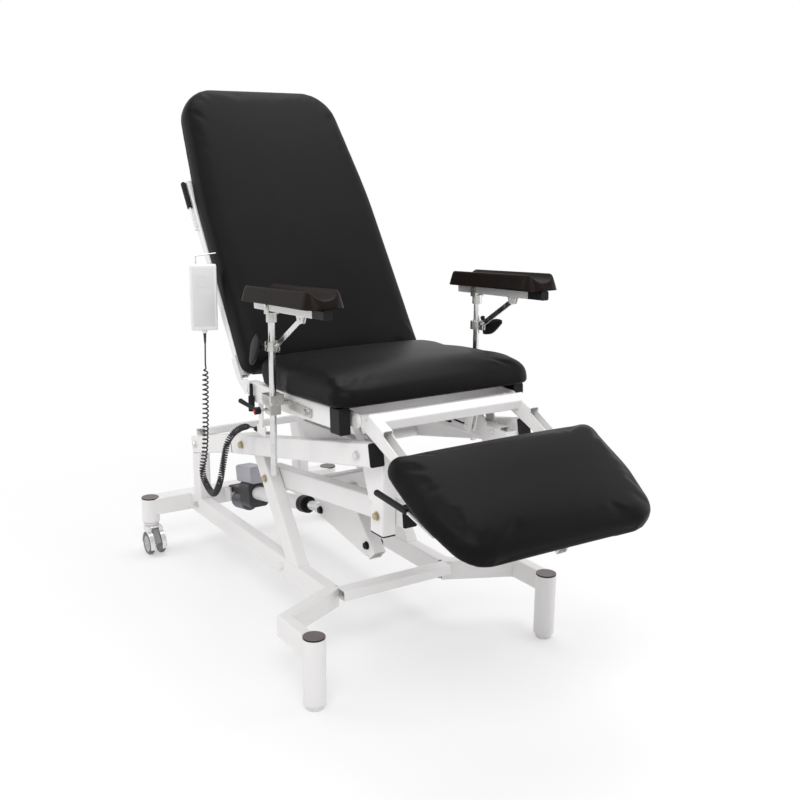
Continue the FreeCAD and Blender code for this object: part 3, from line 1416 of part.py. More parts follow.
def arm_pad(s):
    """Moulded pad with raised sides and a dished middle."""
    wires = []
    base = arm_tube_size / 2 + air
    for at, wide, high, dish, low in pad_section_shares:
        along = -pad_rear + at * (pad_rear + pad_front)
        half, top = pad_half * wide, base + pad_thick * high
        bottom = base + pad_thick * low
        foot = pad_base_half * wide
        mid = top - pad_dish * dish
        rim, swell = half * pad_rim_share, half * pad_swell_share
        side = (top + bottom) / 2 - pad_thick * pad_side_share
        shoulder, brow = top - pad_thick * pad_shoulder_share, top - pad_thick * pad_brow_share

        def p(x, z):
            return arm_spot(s, x, along, z)

        wires.append(Part.Wire([
            Part.LineSegment(p(-foot, bottom), p(foot, bottom)).toShape(),
            Part.Arc(p(foot, bottom), p(swell, side), p(half, shoulder)).toShape(),
            Part.Arc(p(half, shoulder), p(swell, brow), p(rim, top)).toShape(),
            Part.Arc(p(rim, top), p(0, mid), p(-rim, top)).toShape(),
            Part.Arc(p(-rim, top), p(-swell, brow), p(-half, shoulder)).toShape(),
            Part.Arc(p(-half, shoulder), p(-swell, side), p(-foot, bottom)).toShape()]))
    return Part.makeLoft(wires, True, True)


handset_place = FreeCAD.Placement(V(handset_x, handset_y, handset_z), FreeCAD.Rotation(Z, handset_turn))
handset_neck = sleeve_long / 3


def in_handset(shape):
    """Lay a shape built about the origin into the handset, which is turned on its bail."""
    copy = shape.copy()
    copy.Placement = handset_place.multiply(copy.Placement)
    return copy


def handset_spot(x, y, z):
    return handset_place.multVec(V(x, y, z))


def handset():
    """Hand control: rounded case with a shallow key panel on its outer face."""
    half_x, half_y, half_z = handset_thick / 2, handset_wide / 2, handset_high / 2
    points = [V(i * half_x, j * half_y, -half_z) for i, j in ((-1, -1), (1, -1), (1, 1), (-1, 1))]
    case = prism(points, handset_round, Z * handset_high)
    panel = box(-half_x - overrun, -half_x + handset_panel_deep, -handset_panel_wide / 2,
                handset_panel_wide / 2, -handset_panel_high / 2, handset_panel_high / 2)
    neck = rod(V(0, 0, -half_z - handset_neck), V(0, 0, -half_z), sleeve_dia * neck_over_share)
    return in_handset(case.cut(panel).fuse(neck))


def handset_rocker():
    """Rocker key in the panel of the handset."""
    half_x = handset_thick / 2
    key = box(-half_x - handset_panel_deep, -half_x + handset_panel_deep - rocker_gap, -rocker_wide / 2,
              rocker_wide / 2, rocker_up - rocker_high / 2, rocker_up + rocker_high / 2)
    return in_handset(key)


def cord_sleeve():
    """Strain relief below the neck of the handset."""
    low = -handset_high / 2 - handset_neck
    return in_handset(rod(V(0, 0, low), V(0, 0, low - sleeve_long), sleeve_dia))


def handset_hook():
    """Wire bail from the handset case to the side of the back rest."""
    start = handset_spot(0, handset_wide / 4, handset_high / 2 + air)
    top = start + Z * hook_up
    end = V(-hook_end_x, top.y, top.z + plate)
    return fuse(rod(start, top, hook_wire), Part.makeSphere(hook_wire / 2, top), rod(top, end, hook_wire))


def cord_bracket():
    """White strap under the seat rail with the tab that holds the cord gland."""
    top_z = rail_under(strap_y + strap_wide / 2) - air
    strap = box(strap_x - strap_thick / 2, strap_x + strap_thick / 2, strap_y - strap_wide / 2,
                strap_y + strap_wide / 2, strap_low, top_z)
    tab = [(strap_y - tab_wide / 2, strap_low + tab_high), (strap_y - tab_wide / 2 + plate, strap_low),
           (strap_y + tab_rear, strap_low), (strap_y + tab_rear, strap_low + tab_high)]
    return fuse(strap, side_plate(tab, 0, strap_x, strap_thick))


def rail_under(y):
    """Height of the underside of the seat rails at a given y."""
    share = (y - seat_front_y) / math.cos(math.radians(seat_tip))
    return seat_spot(0, share, -air - seat_rail_high).z


def cord_gland():
    """Round gland that the cord goes into."""
    start = V(strap_x, strap_y + tab_rear + air, cord_route[-1][2])
    return rod(start, start + Y * gland_long, gland_dia)


def cord(dia):
    """Tube along the route: straight runs joined by tangent arcs."""
    points = [V(*p) for p in cord_route]
    edges = []
    last = points[0]
    for i in range(1, len(points) - 1):
        before, here, after = points[i - 1], points[i], points[i + 1]
        a, b = (before - here), (after - here)
        shorter = min(a.Length, b.Length)
        turn = math.pi - a.getAngle(b)
        reach = cord_bend_share * shorter
        radius = reach / math.tan(turn / 2)
        u, v = V(a.x, a.y, a.z).normalize(), V(b.x, b.y, b.z).normalize()
        start, end = here + u * reach, here + v * reach
        inward = (u + v).normalize()
        centre = here + inward * (radius / math.cos(turn / 2))
        edges.append(Part.LineSegment(last, start).toShape())
        edges.append(Part.Arc(start, centre - inward * radius, end).toShape())
        print("cord radius", round(radius, 1))
        last = end
    edges.append(Part.LineSegment(last, points[-1]).toShape())
    path = Part.Wire(edges)
    ahead = points[1] - points[0]
    ring = Part.Wire([Part.makeCircle(dia / 2, points[0], ahead)])
    shape = path.makePipeShell([ring], True, False)
    ratio = shape.Volume / (math.pi * dia * dia / 4 * path.Length)
    print("cord volume against section times length", round(ratio, 4), "length", round(path.Length, 1))
    return shape


if __name__ == "__main__":
    save("base_frame", base_frame())
    save("base_rear_beam", rear_beam())
    save("front_legs", front_leg(-1), front_leg(1))
    save("base_plugs", *base_caps())
    save("tower_left", tower(-1))
    save("tower_right", tower(1))
    save("tower_tie_tube", tower_tie())
    save("upper_arms", upper_arms())
    save("lower_arms", lower_arms())
    save("seat_frame", seat_frame())
    save("seat_blocks", *seat_blocks())
    save("seat_cushion", seat_cushion())
    save("back_frame", back_frame())
    save("back_cushion", back_cushion())
    save("leg_frame", leg_frame())
    save("leg_cushion", leg_cushion())
    leg_anchor = V(leg_spring_x, leg_spring_y, leg_spring_z)
    leg_end = at_x(leg_crank, leg_spring_x)
    save("leg_gas_cylinder", spring_body(leg_anchor, leg_end, leg_spring_body))
    save("leg_gas_rod", spring_piston(leg_anchor, leg_end, leg_spring_body, leg_spring_inside))
    back_anchor = V(back_spring_x, back_spring_y, back_spring_z)
    back_end_pin = at_x(back_crank, back_spring_x)
    save("back_gas_cylinder", spring_body(back_anchor, back_end_pin, back_spring_body))
    save("back_gas_rod", spring_piston(back_anchor, back_end_pin, back_spring_body, back_spring_inside))
    save("upper_arm_plugs", *arm_plugs(upper_ahead, pin_f, arm_past_front, upper_x, pin_d, arm_past_rear))
    save("lower_arm_trim", *arm_plugs(lower_ahead, pin_i, lower_past_front, lower_x), *lever_bolts())
    save("base_fasteners", *base_fasteners())
    save("seat_fasteners", *seat_fasteners())
    save("actuator_bracket", actuator_bracket())
    save("actuator_housing", actuator_housing(), actuator_ring())
    save("actuator_motor", actuator_motor())
    save("actuator_rod", actuator_rod())
    save("control_box", control_box())
    for side, s in (("left", -1), ("right", 1)):
        save("castor_fork_" + side, castor_fork(s))
        save("castor_wheels_" + side, *castor_wheels(s))
        save("castor_pedal_" + side, castor_pedal(s))
        save("arm_post_" + side, arm_post(s))
        save("arm_head_" + side, arm_head(s))
        save("arm_tube_" + side, arm_tube(s), arm_end(s))
        save("arm_pad_" + side, arm_pad(s))
        save("arm_brace_" + side, arm_brace(s))
        save("post_collar_" + side, post_collar(s))
        save("collar_knob_" + side, collar_knob(s))
        save("clamp_lever_" + side, clamp_lever(s), clamp_button(s))
    save("arm_carriers", arm_carrier(-1), arm_carrier(1), carrier_bolt(-1), carrier_bolt(1), *seat_clamp(-1),
         *seat_clamp(1))
    save("handset", handset(), cord_sleeve())
    save("handset_rocker", handset_rocker())
    save("handset_hook", handset_hook())
    save("cord_bracket", cord_bracket(), cord_gland())
    save("back_release_lever", back_release())
    save("leg_release_lever", leg_release())
    save("handset_cord", cord(cord_dia))
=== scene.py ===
"""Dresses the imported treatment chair: upholstery, arm pads, handset, curly cord, castors,
caps, weld beads, finishes and a plain photographic stage."""
import math

import bpy
import bmesh
from mathutils import Matrix, Vector


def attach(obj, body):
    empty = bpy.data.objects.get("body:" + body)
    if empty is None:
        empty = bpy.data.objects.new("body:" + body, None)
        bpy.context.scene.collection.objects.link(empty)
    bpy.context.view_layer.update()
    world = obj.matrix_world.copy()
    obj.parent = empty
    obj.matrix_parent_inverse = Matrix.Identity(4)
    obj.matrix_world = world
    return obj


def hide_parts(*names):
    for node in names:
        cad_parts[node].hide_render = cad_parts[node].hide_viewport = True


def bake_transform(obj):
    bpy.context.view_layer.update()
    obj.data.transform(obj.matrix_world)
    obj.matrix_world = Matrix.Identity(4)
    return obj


bl_info = {
    "name": "Treatment Chair Dresser",
    "version": (1, 0, 0),
    "blender": (4, 5, 0),
    "location": "3D View > Sidebar > Chair",
    "description": "Builds the soft goods, small trim and finishes of a treatment chair",
    "category": "Object",
}

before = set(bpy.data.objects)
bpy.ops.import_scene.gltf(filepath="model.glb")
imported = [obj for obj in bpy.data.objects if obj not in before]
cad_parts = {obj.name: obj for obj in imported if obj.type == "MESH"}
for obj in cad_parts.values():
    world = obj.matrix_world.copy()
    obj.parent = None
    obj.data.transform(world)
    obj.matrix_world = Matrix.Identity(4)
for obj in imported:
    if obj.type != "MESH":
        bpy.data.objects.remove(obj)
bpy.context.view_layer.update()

MM = 0.001
SHIFT = 222.5
IMAGE = 800
SENSOR = 36.0
SEAT_FRAME = (-605.0, 769.0, -3.3)
BACK_FRAME = (-75.0, 782.0, 56.0)
LEG_FRAME = (-807.0, 724.0, 28.0)
ARM_POST = (334.0, -295.0, 990.0)
ARM_TILT = 3.1
HANDSET = (-346.0, 122.0, 956.0)
HANDSET_TURN = 70.0
SIDES = (("left", -1), ("right", 1))
NAMES = [name for name, _ in SIDES]
LEG_GRIP_FRONT, LEG_GRIP_REAR = -0.6425, -0.5005
CASTOR_AXLE = (0.0, 616.0, 39.0)
# Swivel race of a castor: height and radius in mm
RACE_PROFILE = ((0, 14), (0, 24.5), (1.0, 25.5), (4.2, 25.5), (4.8, 27.2), (8.6, 27.2), (9.4, 25.0),
                (11.2, 25.0), (11.2, 14))
WHEEL_DISC = 0.027
ARM_TUBE_FRONT = 244.2
BUTTON_FACE, BUTTON_REACH = 0.3871, 0.0048
# Wing of a collar knob: distance from the middle plane in mm and share of its outline
WING_LAYERS = ((366.6, 0.80), (367.4, 0.93), (369.0, 1.0), (374.5, 1.0), (376.2, 0.93), (377.0, 0.80))
# Actuator: rear pin, direction, and how far ahead of the pin its white tube and its black ring begin
ACTUATOR_PIN = (-60.0, 572.0, 200.0)
ACTUATOR_AHEAD = (0.0, -0.9835, 0.181)
TUBE_START, RING_START = 0.1875, 0.5195
# Welded steel nodes and the bodies they belong to
WELDED = (("base_frame", "base"), ("base_rear_beam", "base"), ("tower_left", "base"), ("tower_right", "base"),
          ("front_legs", "base"), ("upper_arms", "upper_link"), ("lower_arms", "lower_link"),
          ("seat_frame", "seat"), ("back_frame", "back"), ("leg_frame", "leg"))
# Distances from the middle plane between which the lower arms pass, so that no bead lies there
ARM_GAP = (0.125, 0.179)

# Control points of the cord from the handset's sleeve to the gland, in metres
CORD_ROUTE = ((-0.346, 0.3445, 0.8208), (-0.346, 0.3485, 0.761), (-0.347, 0.3565, 0.605),
              (-0.336, 0.3965, 0.476), (-0.351, 0.3985, 0.412), (-0.346, 0.3505, 0.367),
              (-0.356, 0.2835, 0.374), (-0.354, 0.2465, 0.424), (-0.339, 0.2545, 0.480),
              (-0.312, 0.2765, 0.551), (-0.275, 0.2245, 0.597), (-0.275, 0.1621, 0.597))


# Places and small maths

def at(x, y, z):
    """Place drawn in millimetres, as a point of the frame in metres."""
    return Vector((x * MM, (y + SHIFT) * MM, z * MM))


def tipped(place, x, along, out):
    """Place in a frame tipped about X, such as the seat, the back rest or the leg rest."""
    y, z, turn = place
    a = math.radians(turn)
    return at(x, y + along * math.cos(a) - out * math.sin(a), z + along * math.sin(a) + out * math.cos(a))


def on_arm(side, across, along, out):
    """Place on an armrest, with along measured forwards from its tilt pin."""
    a = math.radians(-ARM_TILT)
    x, y, z = ARM_POST
    return at(side * x + across, y - along * math.cos(a) - out * math.sin(a),
              z - along * math.sin(a) + out * math.cos(a))


def in_handset(x, y, z):
    """Place in the handset, which is turned on its bail."""
    a = math.radians(HANDSET_TURN)
    hx, hy, hz = HANDSET
    return at(hx + x * math.cos(a) - y * math.sin(a), hy + x * math.sin(a) + y * math.cos(a), hz + z)


def mix(a, b, t):
    return a + (b - a) * t


def smooth_step(t):
    t = max(0.0, min(1.0, t))
    return t * t * (3 - 2 * t)


# Meshes

def mesh_object(name, verts, faces, smooth=True):
    mesh = bpy.data.meshes.new(name)
    mesh.from_pydata([tuple(v) for v in verts], [], faces)
    mesh.validate()
    if smooth:
        mesh.polygons.foreach_set("use_smooth", [True] * len(mesh.polygons))
    obj = bpy.data.objects.new(name, mesh)
    bpy.context.scene.collection.objects.link(obj)
    return obj


def rings_mesh(rings, cap_start=True, cap_end=True):
    """Vertices and faces of a skin over rings with equal numbers of points."""
    verts, faces = [], []
    count = len(rings[0])
    for ring in rings:
        verts += ring
    for i in range(len(rings) - 1):
        for j in range(count):
            k = (j + 1) % count
            faces.append((i * count + j, i * count + k, (i + 1) * count + k, (i + 1) * count + j))
    if cap_start:
        faces.append(tuple(reversed(range(count))))
    if cap_end:
        faces.append(tuple(range((len(rings) - 1) * count, len(rings) * count)))
    return verts, faces


def outward(obj):
    """Points every face outwards."""
    bm = bmesh.new()
    bm.from_mesh(obj.data)
    bmesh.ops.remove_doubles(bm, verts=bm.verts, dist=1e-6)
    bmesh.ops.recalc_face_normals(bm, faces=bm.faces)
    bm.to_mesh(obj.data)
    bm.free()


def apply_modifiers(obj):
    """Puts the evaluated mesh in place of the object's own and clears its modifiers."""
    graph = bpy.context.evaluated_depsgraph_get()
    graph.update()
    done = bpy.data.meshes.new_from_object(obj.evaluated_get(graph))
    name = obj.data.name
    old = obj.data
    obj.modifiers.clear()
    obj.data = done
    if isinstance(old, bpy.types.Mesh):
        bpy.data.meshes.remove(old)
    done.name = name
    return obj


def lathe(name, profile, centre, axis, steps=64):
    """Turned piece: profile is (distance along the axis, radius) in millimetres, from the centre."""
    axis = Vector(axis).normalized()
    flat = axis.orthogonal().normalized()
    other = axis.cross(flat)
    rings = []
    for along, radius in profile:
        rings.append([centre + axis * along * MM + (flat * math.cos(t) + other * math.sin(t)) * radius * MM
                      for t in (2 * math.pi * k / steps for k in range(steps))])
    verts, faces = rings_mesh(rings)
    obj = mesh_object(name, verts, faces)
    outward(obj)
    return obj


def join(name, objects):
    """One mesh object of several."""
    bm = bmesh.new()
    for obj in objects:
        bm.from_mesh(obj.data)
        mesh = obj.data
        bpy.data.objects.remove(obj)
        bpy.data.meshes.remove(mesh)
    mesh = bpy.data.meshes.new(name)
    bm.to_mesh(mesh)
    bm.free()
    result = bpy.data.objects.new(name, mesh)
    bpy.context.scene.collection.objects.link(result)
    return result


def crease_smooth(obj, degrees=35):
    """Smooth shading that keeps edges sharper than the angle."""
    bm = bmesh.new()
    bm.from_mesh(obj.data)
    limit = math.radians(degrees)
    for face in bm.faces:
        face.smooth = True
    for edge in bm.edges:
        edge.smooth = len(edge.link_faces) == 2 and edge.calc_face_angle(0.0) < limit
    bm.to_mesh(obj.data)
    bm.free()


def paint(obj, material):
    obj.data.materials.clear()
    obj.data.materials.append(material)


def bevelled_block(name, corners_low, corners_high, width, segments=4, place=None):
    """Box with rounded edges, placed by a function of its own x, y and z in millimetres."""
    bm = bmesh.new()
    bmesh.ops.create_cube(bm, size=1.0)
    for v in bm.verts:
        v.co = Vector([mix(corners_low[i], corners_high[i], v.co[i] + 0.5) for i in range(3)])
    bmesh.ops.bevel(bm, geom=list(bm.edges), offset=width, segments=segments, affect='EDGES', profile=0.5)
    for v in bm.verts:
        v.co = place(*v.co) if place else at(*v.co)
    bmesh.ops.recalc_face_normals(bm, faces=bm.faces)
    mesh = bpy.data.meshes.new(name)
    bm.to_mesh(mesh)
    bm.free()
    obj = bpy.data.objects.new(name, mesh)
    bpy.context.scene.collection.objects.link(obj)
    crease_smooth(obj, 40)
    return obj


# Shader node groups

def group_socket(group, name, way, kind, value=None):
    socket = group.interface.new_socket(name=name, in_out=way, socket_type=kind)
    if value is not None:
        socket.default_value = value
    return socket


def fine_surface_group():
    """Fine bump, colour drift and roughness drift that every finish shares, with its own values."""
    group = bpy.data.node_groups.new("Fine surface", "ShaderNodeTree")
    for name, value in (("Grain size", 900.0), ("Grain depth", 0.1), ("Drift size", 6.0),
                        ("Drift amount", 0.05), ("Roughness", 0.4), ("Roughness drift", 0.06)):
        group_socket(group, name, 'INPUT', 'NodeSocketFloat', value)
    group_socket(group, "Base", 'INPUT', 'NodeSocketColor', (0.8, 0.8, 0.8, 1.0))
    group_socket(group, "Tint", 'INPUT', 'NodeSocketColor', (0.7, 0.7, 0.7, 1.0))
    group_socket(group, "Color", 'OUTPUT', 'NodeSocketColor')
    group_socket(group, "Roughness", 'OUTPUT', 'NodeSocketFloat')
    group_socket(group, "Height", 'OUTPUT', 'NodeSocketFloat')
    nodes, links = group.nodes, group.links
    source = nodes.new("NodeGroupInput")
    result = nodes.new("NodeGroupOutput")
    place = nodes.new("ShaderNodeTexCoord")
    grain = nodes.new("ShaderNodeTexNoise")
    grain.inputs["Detail"].default_value = 3.0
    drift = nodes.new("ShaderNodeTexNoise")
    drift.inputs["Detail"].default_value = 4.0
    links.new(place.outputs["Object"], grain.inputs["Vector"])
    links.new(place.outputs["Object"], drift.inputs["Vector"])
    links.new(source.outputs["Grain size"], grain.inputs["Scale"])
    links.new(source.outputs["Drift size"], drift.inputs["Scale"])
    spread = nodes.new("ShaderNodeMapRange")
    spread.inputs["From Min"].default_value = 0.35
    spread.inputs["From Max"].default_value = 0.65
    links.new(drift.outputs["Fac"], spread.inputs["Value"])
    amount = nodes.new("ShaderNodeMath")
    amount.operation = 'MULTIPLY'
    links.new(spread.outputs["Result"], amount.inputs[0])
    links.new(source.outputs["Drift amount"], amount.inputs[1])
    blend = nodes.new("ShaderNodeMix")
    blend.data_type = 'RGBA'
    links.new(amount.outputs[0], blend.inputs["Factor"])
    links.new(source.outputs["Base"], blend.inputs[6])
    links.new(source.outputs["Tint"], blend.inputs[7])
    links.new(blend.outputs[2], result.inputs["Color"])
    rough = nodes.new("ShaderNodeMath")
    rough.operation = 'MULTIPLY_ADD'
    centred = nodes.new("ShaderNodeMath")
    centred.operation = 'SUBTRACT'
    centred.inputs[1].default_value = 0.5
    links.new(spread.outputs["Result"], centred.inputs[0])
    links.new(centred.outputs[0], rough.inputs[0])
    links.new(source.outputs["Roughness drift"], rough.inputs[1])
    links.new(source.outputs["Roughness"], rough.inputs[2])
    links.new(rough.outputs[0], result.inputs["Roughness"])
    height = nodes.new("ShaderNodeMath")
    height.operation = 'MULTIPLY'
    links.new(grain.outputs["Fac"], height.inputs[0])
    links.new(source.outputs["Grain depth"], height.inputs[1])
    links.new(height.outputs[0], result.inputs["Height"])
    return group


def leather_group():
    """Pebbled grain of coated fabric, with long soft creases."""
    group = bpy.data.node_groups.new("Leather grain", "ShaderNodeTree")
    for name, value in (("Pebble size", 900.0), ("Pebble depth", 0.3), ("Crease size", 9.0),
                        ("Crease depth", 0.5)):
        group_socket(group, name, 'INPUT', 'NodeSocketFloat', value)
    group_socket(group, "Height", 'OUTPUT', 'NodeSocketFloat')
    group_socket(group, "Pores", 'OUTPUT', 'NodeSocketFloat')
    nodes, links = group.nodes, group.links
    source = nodes.new("NodeGroupInput")
    result = nodes.new("NodeGroupOutput")
    place = nodes.new("ShaderNodeTexCoord")
    cells = nodes.new("ShaderNodeTexVoronoi")
    cells.feature = 'SMOOTH_F1'
    cells.inputs["Smoothness"].default_value = 0.6
    links.new(place.outputs["Object"], cells.inputs["Vector"])
    links.new(source.outputs["Pebble size"], cells.inputs["Scale"])
    pebble = nodes.new("ShaderNodeMath")
    pebble.operation = 'MULTIPLY'
    links.new(cells.outputs["Distance"], pebble.inputs[0])
    links.new(source.outputs["Pebble depth"], pebble.inputs[1])
    folds = nodes.new("ShaderNodeTexNoise")
    folds.inputs["Detail"].default_value = 1.0
    folds.inputs["Distortion"].default_value = 0.4
    links.new(place.outputs["Object"], folds.inputs["Vector"])
    links.new(source.outputs["Crease size"], folds.inputs["Scale"])
    crease = nodes.new("ShaderNodeMath")
    crease.operation = 'MULTIPLY_ADD'
    links.new(folds.outputs["Fac"], crease.inputs[0])
    links.new(source.outputs["Crease depth"], crease.inputs[1])
    links.new(pebble.outputs[0], crease.inputs[2])
    links.new(crease.outputs[0], result.inputs["Height"])
    links.new(cells.outputs["Distance"], result.inputs["Pores"])
    return group


GROUPS = {}
FINISHES = {}


def finish(name, base, tint, rough, metallic=0.0, grain=(900.0, 0.1), drift=(6.0, 0.06), rough_drift=0.06,
           bump=0.02, coat=0.0, specular=0.5, leather=None, soften=0.0):
    """Principled finish fed by the shared groups."""
    material = bpy.data.materials.new(name)
    material.use_nodes = True
    nodes, links = material.node_tree.nodes, material.node_tree.links
    shader = nodes["Principled BSDF"]
    shader.inputs["Metallic"].default_value = metallic
    shader.inputs["Specular IOR Level"].default_value = specular
    shader.inputs["Coat Weight"].default_value = coat
    shader.inputs["Coat Roughness"].default_value = 0.12
    surface = nodes.new("ShaderNodeGroup")
    surface.node_tree = GROUPS["fine"]
    for key, value in (("Grain size", grain[0]), ("Grain depth", grain[1]), ("Drift size", drift[0]),
                       ("Drift amount", drift[1]), ("Roughness", rough), ("Roughness drift", rough_drift)):
        surface.inputs[key].default_value = value
    surface.inputs["Base"].default_value = (*base, 1.0)
    surface.inputs["Tint"].default_value = (*tint, 1.0)
    links.new(surface.outputs["Color"], shader.inputs["Base Color"])
    links.new(surface.outputs["Roughness"], shader.inputs["Roughness"])
    relief = nodes.new("ShaderNodeBump")
    relief.inputs["Strength"].default_value = bump
    relief.inputs["Distance"].default_value = 0.001
    height = surface.outputs["Height"]
    if leather:
        skin = nodes.new("ShaderNodeGroup")
        skin.node_tree = GROUPS["leather"]
        for key, value in zip(("Pebble size", "Pebble depth", "Crease size", "Crease depth"), leather):
            skin.inputs[key].default_value = value
        both = nodes.new("ShaderNodeMath")
        both.operation = 'ADD'
        links.new(surface.outputs["Height"], both.inputs[0])
        links.new(skin.outputs["Height"], both.inputs[1])
        height = both.outputs[0]
    links.new(height, relief.inputs["Height"])
    if soften:
        rounded = nodes.new("ShaderNodeBevel")
        rounded.samples = 4
        rounded.inputs["Radius"].default_value = soften
        links.new(rounded.outputs["Normal"], relief.inputs["Normal"])
    links.new(relief.outputs["Normal"], shader.inputs["Normal"])
    FINISHES[name] = material
    return material


def make_finishes(colours):
    GROUPS["fine"] = fine_surface_group()
    GROUPS["leather"] = leather_group()
    white, vinyl = tuple(colours.white_coat), tuple(colours.vinyl)
    finish("White powder coat", white, (0.77, 0.76, 0.76), 0.36, grain=(1400.0, 0.6), drift=(3.0, 0.25),
           bump=0.12, soften=0.0016)
    finish("Black vinyl", vinyl, tuple(1.8 * c for c in vinyl), 0.40, grain=(2600.0, 0.2), drift=(4.0, 0.35),
           rough_drift=0.05, bump=0.2, leather=(1500.0, 0.5, 7.0, 0.0), specular=0.06)
    finish("Moulded arm pad", (0.0095, 0.0068, 0.0060), (0.018, 0.013, 0.011), 0.30, grain=(2200.0, 0.5),
           drift=(9.0, 0.4), bump=0.25, specular=0.04)
    finish("Zinc plate", (0.60, 0.59, 0.57), (0.42, 0.42, 0.40), 0.34, metallic=1.0, grain=(700.0, 0.5),
           drift=(45.0, 0.5), rough_drift=0.2, bump=0.08, soften=0.0008)
    finish("Bright plate", (0.72, 0.72, 0.72), (0.55, 0.55, 0.54), 0.2, metallic=1.0, grain=(500.0, 0.3),
           drift=(60.0, 0.4), rough_drift=0.15, bump=0.04, soften=0.0006)
    finish("Yellow zinc", (0.50, 0.42, 0.27), (0.36, 0.33, 0.24), 0.32, metallic=1.0, grain=(600.0, 0.4),
           drift=(90.0, 0.6), rough_drift=0.2, bump=0.06, soften=0.0006)
    finish("Black plastic", (0.011, 0.011, 0.012), (0.022, 0.022, 0.023), 0.42, grain=(1500.0, 0.8),
           drift=(30.0, 0.3), bump=0.2, soften=0.0012, specular=0.12)
    finish("Motor paint", (0.095, 0.098, 0.118), (0.065, 0.068, 0.085), 0.42, grain=(1200.0, 0.8),
           drift=(14.0, 0.4), bump=0.15, soften=0.002)
    finish("Dark casting", (0.030, 0.030, 0.034), (0.018, 0.018, 0.021), 0.5, grain=(900.0, 1.0),
           drift=(20.0, 0.5), bump=0.3, soften=0.002)
    finish("Control box plastic", (0.46, 0.45, 0.50), (0.36, 0.35, 0.40), 0.45, grain=(1600.0, 0.6),
           drift=(12.0, 0.3), bump=0.12, soften=0.002)
    finish("Grey tread", (0.125, 0.118, 0.115), (0.19, 0.18, 0.175), 0.55, grain=(900.0, 0.8),
           drift=(40.0, 0.5), bump=0.25)
    finish("Grey plastic", (0.27, 0.27, 0.28), (0.20, 0.20, 0.21), 0.42, grain=(1500.0, 0.6),
           drift=(25.0, 0.3), bump=0.15, soften=0.0008)
    finish("Handset plastic", (0.80, 0.80, 0.80), (0.72, 0.72, 0.72), 0.38, grain=(1800.0, 0.8),
           drift=(10.0, 0.2), bump=0.12)
    finish("Key film", (0.70, 0.70, 0.71), (0.64, 0.64, 0.65), 0.30, grain=(1200.0, 0.3),
           drift=(14.0, 0.3), bump=0.05)
    finish("Cord rubber", (0.012, 0.012, 0.013), (0.028, 0.028, 0.03), 0.45, grain=(1800.0, 0.5),
           drift=(60.0, 0.4), bump=0.1)
    finish("Cap top", (0.105, 0.082, 0.082), (0.16, 0.13, 0.13), 0.38, grain=(1500.0, 0.6),
           drift=(25.0, 0.4), bump=0.12)
    finish("Wheel disc", (0.42, 0.42, 0.43), (0.30, 0.30, 0.31), 0.4, grain=(1500.0, 0.6),
           drift=(25.0, 0.3), bump=0.12)
    finish("Red button", (0.55, 0.012, 0.015), (0.42, 0.01, 0.012), 0.3, grain=(1500.0, 0.3),
           drift=(40.0, 0.3), bump=0.05, soften=0.0008)
    finish("Castor zinc", (0.80, 0.80, 0.81), (0.66, 0.66, 0.67), 0.26, metallic=0.45, grain=(700.0, 0.4),
           drift=(45.0, 0.4), rough_drift=0.12, bump=0.06)
    finish("Oiled steel rod", (0.62, 0.62, 0.63), (0.48, 0.48, 0.5), 0.14, metallic=1.0, grain=(300.0, 0.2),
           drift=(30.0, 0.3), rough_drift=0.1, bump=0.03)


# Finish of every CAD node that isn't white powder coat; left and right nodes share a name without its side
FINISH_NODES = {
    "Black plastic": ("base_plugs", "upper_arm_plugs", "lower_arm_trim", "seat_blocks", "collar_knob",
                      "clamp_lever", "leg_gas_cylinder", "back_gas_cylinder"),
    "Bright plate": ("base_fasteners", "seat_fasteners", "arm_post", "arm_brace", "handset_hook",
                     "back_release_lever", "leg_release_lever"),
    "Zinc plate": ("castor_fork", "arm_carriers", "arm_head", "post_collar"),
    "Grey plastic": ("castor_pedal",),
    "Grey tread": ("castor_wheels",),
    "Motor paint": ("actuator_motor",),
    "Dark casting": ("actuator_housing",),
    "Oiled steel rod": ("actuator_rod", "leg_gas_rod", "back_gas_rod"),
    "Control box plastic": ("control_box",),
    "Handset plastic": ("handset",),
    "Key film": ("handset_rocker",),
    "Cord rubber": ("handset_cord",),
    "Black vinyl": ("seat_cushion", "back_cushion", "leg_cushion"),
    "Moulded arm pad": ("arm_pad",),
}


def node_finish(name):
    """Name of the finish of a CAD node."""
    plain = name
    for side in ("_left", "_right"):
        plain = plain.removesuffix(side)
    for finish_name, nodes in FINISH_NODES.items():
        if plain in nodes:
            return finish_name
    return "White powder coat"


def repaint(node, finish_name, test):
    """Gives the faces of a node whose centre passes the test a second finish."""
    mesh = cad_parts[node].data
    mesh.materials.append(FINISHES[finish_name])
    slot = len(mesh.materials) - 1
    for face in mesh.polygons:
        if test(face.center):
            face.material_index = slot


# Cushions

# Outlines in mm, across and along their tipped frames, with the radius of each corner
SEAT_OUTLINE = ((-313, 2), (313, 2), (313, 282), (297, 330), (297, 493), (-297, 493), (-297, 330),
                (-313, 282))
SEAT_ROUNDS = (56.0, 56.0, 40.0, 40.0, 52.0, 52.0, 40.0, 40.0)
BACK_OUTLINE = ((-303, -6), (303, -6), (299, 560), (262, 956), (-262, 956), (-299, 560))
BACK_ROUNDS = (40.0, 40.0, 1500.0, 121.0, 121.0, 1500.0)
LEG_OUTLINE = ((-272, -349), (282, -352), (318, -190), (318, -3), (-312, -3), (-312, -190))
LEG_ROUNDS = (84.0, 84.0, 300.0, 44.0, 44.0, 300.0)
CUSHION_EDGE = 15.0
SIDE_SHARES = ((0.60, 0.0), (0.30, 0.04), (0.12, 0.13), (0.02, 0.26), (0.0, 0.38), (0.02, 0.5), (0.07, 0.63),
               (0.18, 0.76), (0.36, 0.86), (0.62, 0.935), (0.95, 0.98), (1.4, 1.0))
